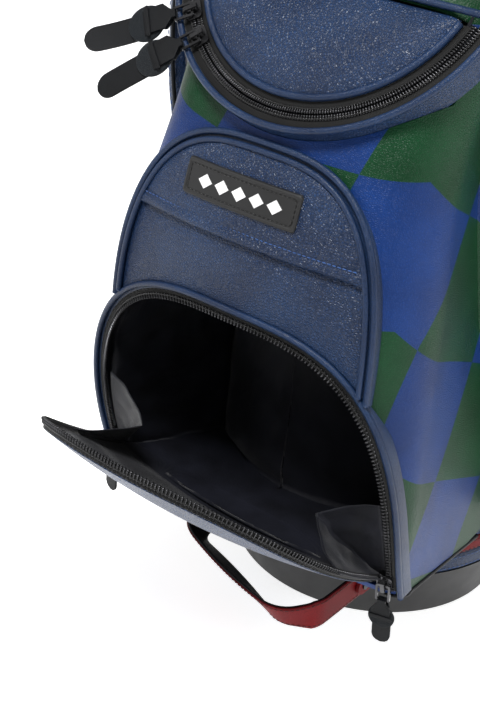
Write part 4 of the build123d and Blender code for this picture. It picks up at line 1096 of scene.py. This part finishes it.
def puller(name, length, curl):
    """A leather tongue that runs over the wire, through a slit in a round piece and out below."""
    loop = NODES[name + "_loop"]
    origin, along, across, out = puller_axes(loop)
    if out.dot(Vector((0, -1, 0.3))) < 0:
        out, across = -out, -across
    axes = (origin, along, across, out)
    wide = 7.6 if length < 60 else 10.5
    disc_at = 31.0 if length < 60 else 37.0

    def over(s):
        """The tongue lies over the disc's upper part and dives through its slit."""
        dive = 1 / (1 + exp(-(s - disc_at - 2) / 1.6))
        return 2.6 - 4.6 * dive + curl * max(0.0, (s - disc_at) / length) ** 2 * 60

    def under(s):
        return curl * max(0.0, (s - disc_at) / length) * 12

    tongue = strip(name + "_tongue", round_end(12.6, length, wide, 3.4), over, PULL_LEATHER, 1.7, axes)
    back = strip(name + "_back", round_end(12.6, disc_at - 8, wide * 0.8, 3.4), lambda s: -2.0 + 0.5 * sin(s),
                 SUEDE, 1.4, axes)
    disc = strip(name + "_disc", disc_outline(disc_at, wide * 1.42), under, SUEDE, 1.6, axes)
    band = strip(name + "_band", [(disc_at - 3.4, wide * 1.2), (disc_at - 2.8, wide * 1.25),
                                  (disc_at - 0.2, wide * 1.2)], lambda s: 3.6, PULL_LEATHER, 1.0, axes)
    for piece in (tongue, back, disc, band):
        finish_piece(piece, BODY_OF[name + "_loop"], "puller_leather")
    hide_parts(name + "_leather")


for name, length in PULLERS.items():
    puller(name, length, {"dome_puller_left": 0.35, "dome_puller_right": -0.1}.get(name, 0.0))


# ------------------------------------------------------------------ cuffs, body seams
def turned_ring(name, profile, material, centre=(0, 0), count=144):
    """A ring turned from a profile of (radius, height)."""
    rows = [[Vector((centre[0] + r * cos(2 * pi * k / count), centre[1] + r * sin(2 * pi * k / count), z))
             for k in range(count)] for r, z in profile]
    return sheet_of(name, rows, material, closed=True)


def puffed(low, high, radius, puff, inner=134.6):
    """A band's profile, full in the middle and drawn in at its seams."""
    outline = [(inner, low + 0.3), (radius - 2.2, low + 0.3)]
    for k in range(13):
        share = k / 12
        outline.append((radius - 1.6 + puff * sin(pi * share) ** 0.6, low + 0.3 + (high - low - 0.6) * share))
    return outline + [(radius - 2.2, high - 0.3), (inner, high - 0.3)]


BOOT_H, RED_BAND_Z, CUFF_TOP_Z = 54.3, (72.2, 87.0), 105.0
for name, low, high, radius, finish, slot in (
        ("cuff_navy_low", BOOT_H, RED_BAND_Z[0], SKIN_R, NAVY_LEATHER, "navy_leather"),
        ("cuff_red", *RED_BAND_Z, SKIN_R + 0.6, RED_LEATHER, "red_leather"),
        ("cuff_navy_high", RED_BAND_Z[1], CUFF_TOP_Z, SKIN_R, NAVY_LEATHER, "navy_leather")):
    finish_piece(turned_ring(name, puffed(low, high, radius, 1.5), finish), "bag", slot)
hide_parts("cuff_navy_bands")
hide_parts("cuff_red_band")


def away(p):
    return Vector((p.x, p.y, 0)).normalized()


def circle(radius, z, count=240):
    return [Vector((radius * cos(2 * pi * k / count), radius * sin(2 * pi * k / count), z))
            for k in range(count)]


for name, radius, z, thread in (
        ("low", SKIN_R + 0.1, 58.4, BLUE_THREAD), ("low_top", SKIN_R + 0.1, 68.6, BLUE_THREAD),
        ("red_low", SKIN_R + 0.9, 75.2, BLACK_THREAD), ("red_top", SKIN_R + 0.9, 84.0, BLACK_THREAD),
        ("high", SKIN_R + 0.1, 90.6, BLUE_THREAD), ("high_top", SKIN_R + 0.1, 101.4, BLUE_THREAD)):
    finish_piece(stitches(f"cuff_stitches_{name}", circle(radius, z), thread, away, closed=True), "bag",
                 "navy_leather")
finish_piece(tube("skin_foot_piping", circle(SKIN_R + 1.2, CUFF_TOP_Z + 2.2), 2.0, NAVY_SMOOTH, True,
                  up=Vector((0, 0, 1))), "bag", "navy_leather")
finish_piece(tube("skin_top_piping", circle(SKIN_R + 1.6, 797.6), 2.4, NAVY_SMOOTH, True,
                  up=Vector((0, 0, 1))), "bag", "navy_leather")


# ------------------------------------------------------------------ lift handle at the foot
def filleted(corners, radius):
    """A line through corners, each rounded with an arc."""
    line = [corners[0]]
    for before, corner, after in zip(corners, corners[1:], corners[2:]):
        back, ahead = (before - corner).normalized(), (after - corner).normalized()
        angle = back.angle(ahead)
        trim = radius / abs(sin(angle / 2) / cos(angle / 2))
        a, b = corner + back * trim, corner + ahead * trim
        for k in range(13):
            t = k / 12
            line.append(a * (1 - t) ** 2 + corner * 2 * t * (1 - t) + b * t**2)
    return line + [corners[-1]]


lift_y, lift_z = LIFT_AXIS
lift_route = filleted([Vector(p) for p in (
    (-LIFT_HALF_W, lift_y + 12, lift_z), (-LIFT_HALF_W + 1, lift_y - 44, lift_z), (50, lift_y - 84, lift_z),
    (LIFT_HALF_W - 4, lift_y - 60, lift_z), (LIFT_HALF_W, lift_y + 12, lift_z))], 26)
lift_route = evenly(lift_route, 3)


def lift_frames():
    """Along the lift strap: its points with their outward and upward directions, as it sags open."""
    count = len(lift_route)
    for i, (p, ahead) in enumerate(zip(lift_route, directions(lift_route))):
        share = i / (count - 1)
        lean = radians(52) * sin(pi * min(1.0, share * 1.35)) ** 0.7 if share < 0.74 else 0.0
        outward, up = ahead.cross(Vector((0, 0, 1))), Vector((0, 0, 1))
        drop = Vector((0, 0, -6 * sin(pi * share)))
        yield p + drop, outward * cos(lean) - up * sin(lean), up * cos(lean) + outward * sin(lean)



def lift_layer(name, shift, finish, thick):
    rows = []
    for k in range(9):
        z = (k / 8 - 0.5) * LIFT_WIDE
        puff = 0.8 * (1 - (2 * k / 8 - 1) ** 4)
        rows.append([p + up * z + outward * (shift[0] + shift[1] * puff) for p, outward, up in lift_frames()])
    return sheet_of(name, rows, finish, thick)


outer_strap = lift_layer("lift_handle_outside", (0.7, 1.0), RED_LEATHER, 1.3)
inner_strap = lift_layer("lift_handle_inside", (-0.7, -0.6), PULL_LEATHER, 1.3)
finish_piece(outer_strap, "lift_handle", "red_leather", "lift_handle_loop")
finish_piece(inner_strap, "lift_handle", "puller_leather")
for name, z in (("low", -LIFT_WIDE / 2 + 2.4), ("high", LIFT_WIDE / 2 - 2.4)):
    line = [p + up * z + outward * 1.9 for p, outward, up in lift_frames()]
    finish_piece(stitches(f"lift_handle_stitches_{name}", line, BLACK_THREAD, Vector((0, -1, 0))),
                 "lift_handle", "red_leather")


# ------------------------------------------------------------------ padded strap and grip
def plump(name, node, finish, body, slot, shrink, frames=18, voxel=5.0, cap=5.0):
    """A padded copy of a CAD solid: remeshed, inflated as cloth and smoothed."""
    piece = NODES[node].copy()
    piece.data = NODES[node].data.copy()
    piece.name = name
    piece.parent = None
    bpy.context.collection.objects.link(piece)
    piece.data.materials.clear()
    piece.data.materials.append(finish)
    remesh = piece.modifiers.new("remesh", "REMESH")
    remesh.mode = "VOXEL"
    remesh.voxel_size = voxel * MM
    freeze(piece)
    for v in piece.data.vertices:
        v.co -= v.normal * shrink * MM
    rest = [v.co.copy() for v in piece.data.vertices]
    cloth = piece.modifiers.new("cloth", "CLOTH")
    cloth.settings.use_pressure = True
    cloth.settings.uniform_pressure_force = 4.0
    cloth.settings.effector_weights.gravity = 0.0
    scene = bpy.context.scene
    scene.frame_start, scene.frame_end = 1, frames
    for step in range(1, frames + 1):
        scene.frame_set(step)
    freeze(piece)
    for v, before in zip(piece.data.vertices, rest):
        moved = v.co - before
        if moved.length > cap * MM:
            v.co = before + moved * (cap * MM / moved.length)
    scene.frame_set(1)
    smooth = piece.modifiers.new("smooth", "SUBSURF")
    smooth.levels = smooth.render_levels = 1
    freeze(piece)
    for polygon in piece.data.polygons:
        polygon.use_smooth = True
    finish_piece(piece, body, slot, node)
    return piece


plump("strap_cushion", "strap_pad", NAVY_LEATHER, "shoulder_strap", "navy_leather", 1.6)
plump("carry_handle_cushion", "carry_handle_grip", NAVY_LEATHER, "carry_handle", "navy_leather", 1.0,
      voxel=3.5, cap=2.0)

strap_turn = radians(STRAP_ANGLE)
STRAP_OUT = Vector((cos(strap_turn), sin(strap_turn), 0))
STRAP_ROUND = Vector((-sin(strap_turn), cos(strap_turn), 0))


def strap_bow(z):
    low, high = 213.0, 767.0
    return 168.0 + 52.0 * cos(pi / 2 * (z - (low + high) / 2) / ((high - low) / 2 - 32))


for side in (-1, 1):
    line = [STRAP_OUT * (strap_bow(z) + 5.6) + STRAP_ROUND * side * 25 + Vector((0, 0, z))
            for z in range(310, 671, 6)]
    name = "left" if side < 0 else "right"
    finish_piece(stitches(f"strap_stitches_{name}", line, BLUE_THREAD, STRAP_OUT, 4.0, 2.0, 1.2),
                 "shoulder_strap", "navy_leather")
    edge = [STRAP_OUT * strap_bow(z) + STRAP_ROUND * side * 32.2 + Vector((0, 0, z))
            for z in range(302, 679, 6)]
    finish_piece(tube(f"strap_edge_{name}", edge, 1.8, PULL_LEATHER, up=STRAP_OUT), "shoulder_strap",
                 "puller_leather")

# ------------------------------------------------------------------ module's foot piping and body edge
def module_section(z):
    """Half width, corner radius and side slope of the pocket module at height z."""
    levels = ((102, 155, 14, 0.08), (124, 155, 14, 0.08), (170, 156, 22, 0.09), (230, 156, 40, 0.14))
    for (z0, *a), (z1, *b) in zip(levels, levels[1:]):
        if z <= z1:
            share = max(0.0, (z - z0) / (z1 - z0))
            return [p + (q - p) * share for p, q in zip(a, b)]
    return levels[-1][1:]


def underside_edge(side):
    """The module's lower edge: from the zip's foot round the corner and back along the wall."""
    slope = (124.4 - 102.0) / (-FLAP_HINGE_Y - 96)
    back = -58 if side > 0 else -84
    line = []
    half, corner, lean = module_section(124)
    shoulder = face_y(half, 124)
    for k in range(9):
        turn = radians(90 * k / 8)
        line.append((half - corner + corner * sin(turn), shoulder + corner * (1 - cos(turn)) - 2.0))
    lean = lean if side > 0 else 0.385
    for y in range(int(shoulder) + 20, back, 6):
        line.append((half - lean * (y - shoulder), y))
    points = []
    for x, y in line:
        z = 124.4 - slope * (y - FLAP_HINGE_Y)
        points.append(Vector((side * x, y, z + 0.6)))
    return evenly(points, 3)


for side, name in ((-1, "left"), (1, "right")):
    finish_piece(tube(f"underside_piping_{name}", underside_edge(side), 1.9, PULL_LEATHER,
                      up=Vector((0, 0, 1))), "bag", "puller_leather")

# ------------------------------------------------------------------ stage, camera and light
STAGE = 6.0
ground = bpy.data.meshes.new("studio_floor")
ground.from_pydata([(-STAGE, -STAGE, -0.0005), (STAGE, -STAGE, -0.0005), (STAGE, STAGE, -0.0005),
                    (-STAGE, STAGE, -0.0005)], [], [(0, 1, 2, 3)])
floor_piece = bpy.data.objects.new("studio_floor", ground)
bpy.context.collection.objects.link(floor_piece)
pale, nodes, links, shader = material("studio_pale")
links.new(mottled(nodes, links, place_of(nodes), (0.88, 0.88, 0.88), (0.91, 0.91, 0.91), 2.0),
          shader.inputs["Base Color"])
shader.inputs["Roughness"].default_value = 0.9
shader.inputs["Emission Color"].default_value = (1, 1, 1, 1)
shader.inputs["Emission Strength"].default_value = 0.75
ground.materials.append(pale)

CAMERA_AT = Vector((0.50817, -0.93338, 0.76050))
YAW, PITCH, ROLL = radians(36.23), radians(-28.94), radians(5.20)
look = Vector((-sin(YAW) * cos(PITCH), cos(YAW) * cos(PITCH), sin(PITCH)))
level = look.cross(Vector((0, 0, 1))).normalized()
upright = level.cross(look)
right = level * cos(ROLL) + upright * sin(ROLL)
top = upright * cos(ROLL) - level * sin(ROLL)
lens = bpy.data.cameras.new("view")
lens.sensor_fit, lens.sensor_height, lens.lens = "VERTICAL", 36.0, 63.84
lens.clip_start = 0.02
camera = bpy.data.objects.new("view", lens)
camera.matrix_world = Matrix((
    (right.x, top.x, -look.x, CAMERA_AT.x), (right.y, top.y, -look.y, CAMERA_AT.y),
    (right.z, top.z, -look.z, CAMERA_AT.z), (0, 0, 0, 1)))
bpy.context.collection.objects.link(camera)
bpy.context.scene.camera = camera


def soft_light(name, at, aim, power, size):
    lamp = bpy.data.lights.new(name, "AREA")
    lamp.energy, lamp.size = power, size
    held = bpy.data.objects.new(name, lamp)
    held.location = at
    held.rotation_euler = (Vector(aim) - Vector(at)).to_track_quat("-Z", "Y").to_euler()
    bpy.context.collection.objects.link(held)


MIDDLE = (0.0, -0.1, 0.4)
soft_light("key", (0.1, -1.1, 2.2), MIDDLE, 50, 0.55)
soft_light("fill", (-1.9, -1.2, 1.1), MIDDLE, 10, 1.2)
soft_light("side", (2.0, 0.1, 1.0), MIDDLE, 14, 1.0)
soft_light("back", (0.2, 2.0, 1.6), MIDDLE, 14, 1.4)
world = bpy.data.worlds.new("studio")
world.use_nodes = True
world.node_tree.nodes["Background"].inputs["Color"].default_value = (1, 1, 1, 1)
world.node_tree.nodes["Background"].inputs["Strength"].default_value = 0.3
bpy.context.scene.world = world
bpy.context.scene.view_settings.view_transform = "Standard"
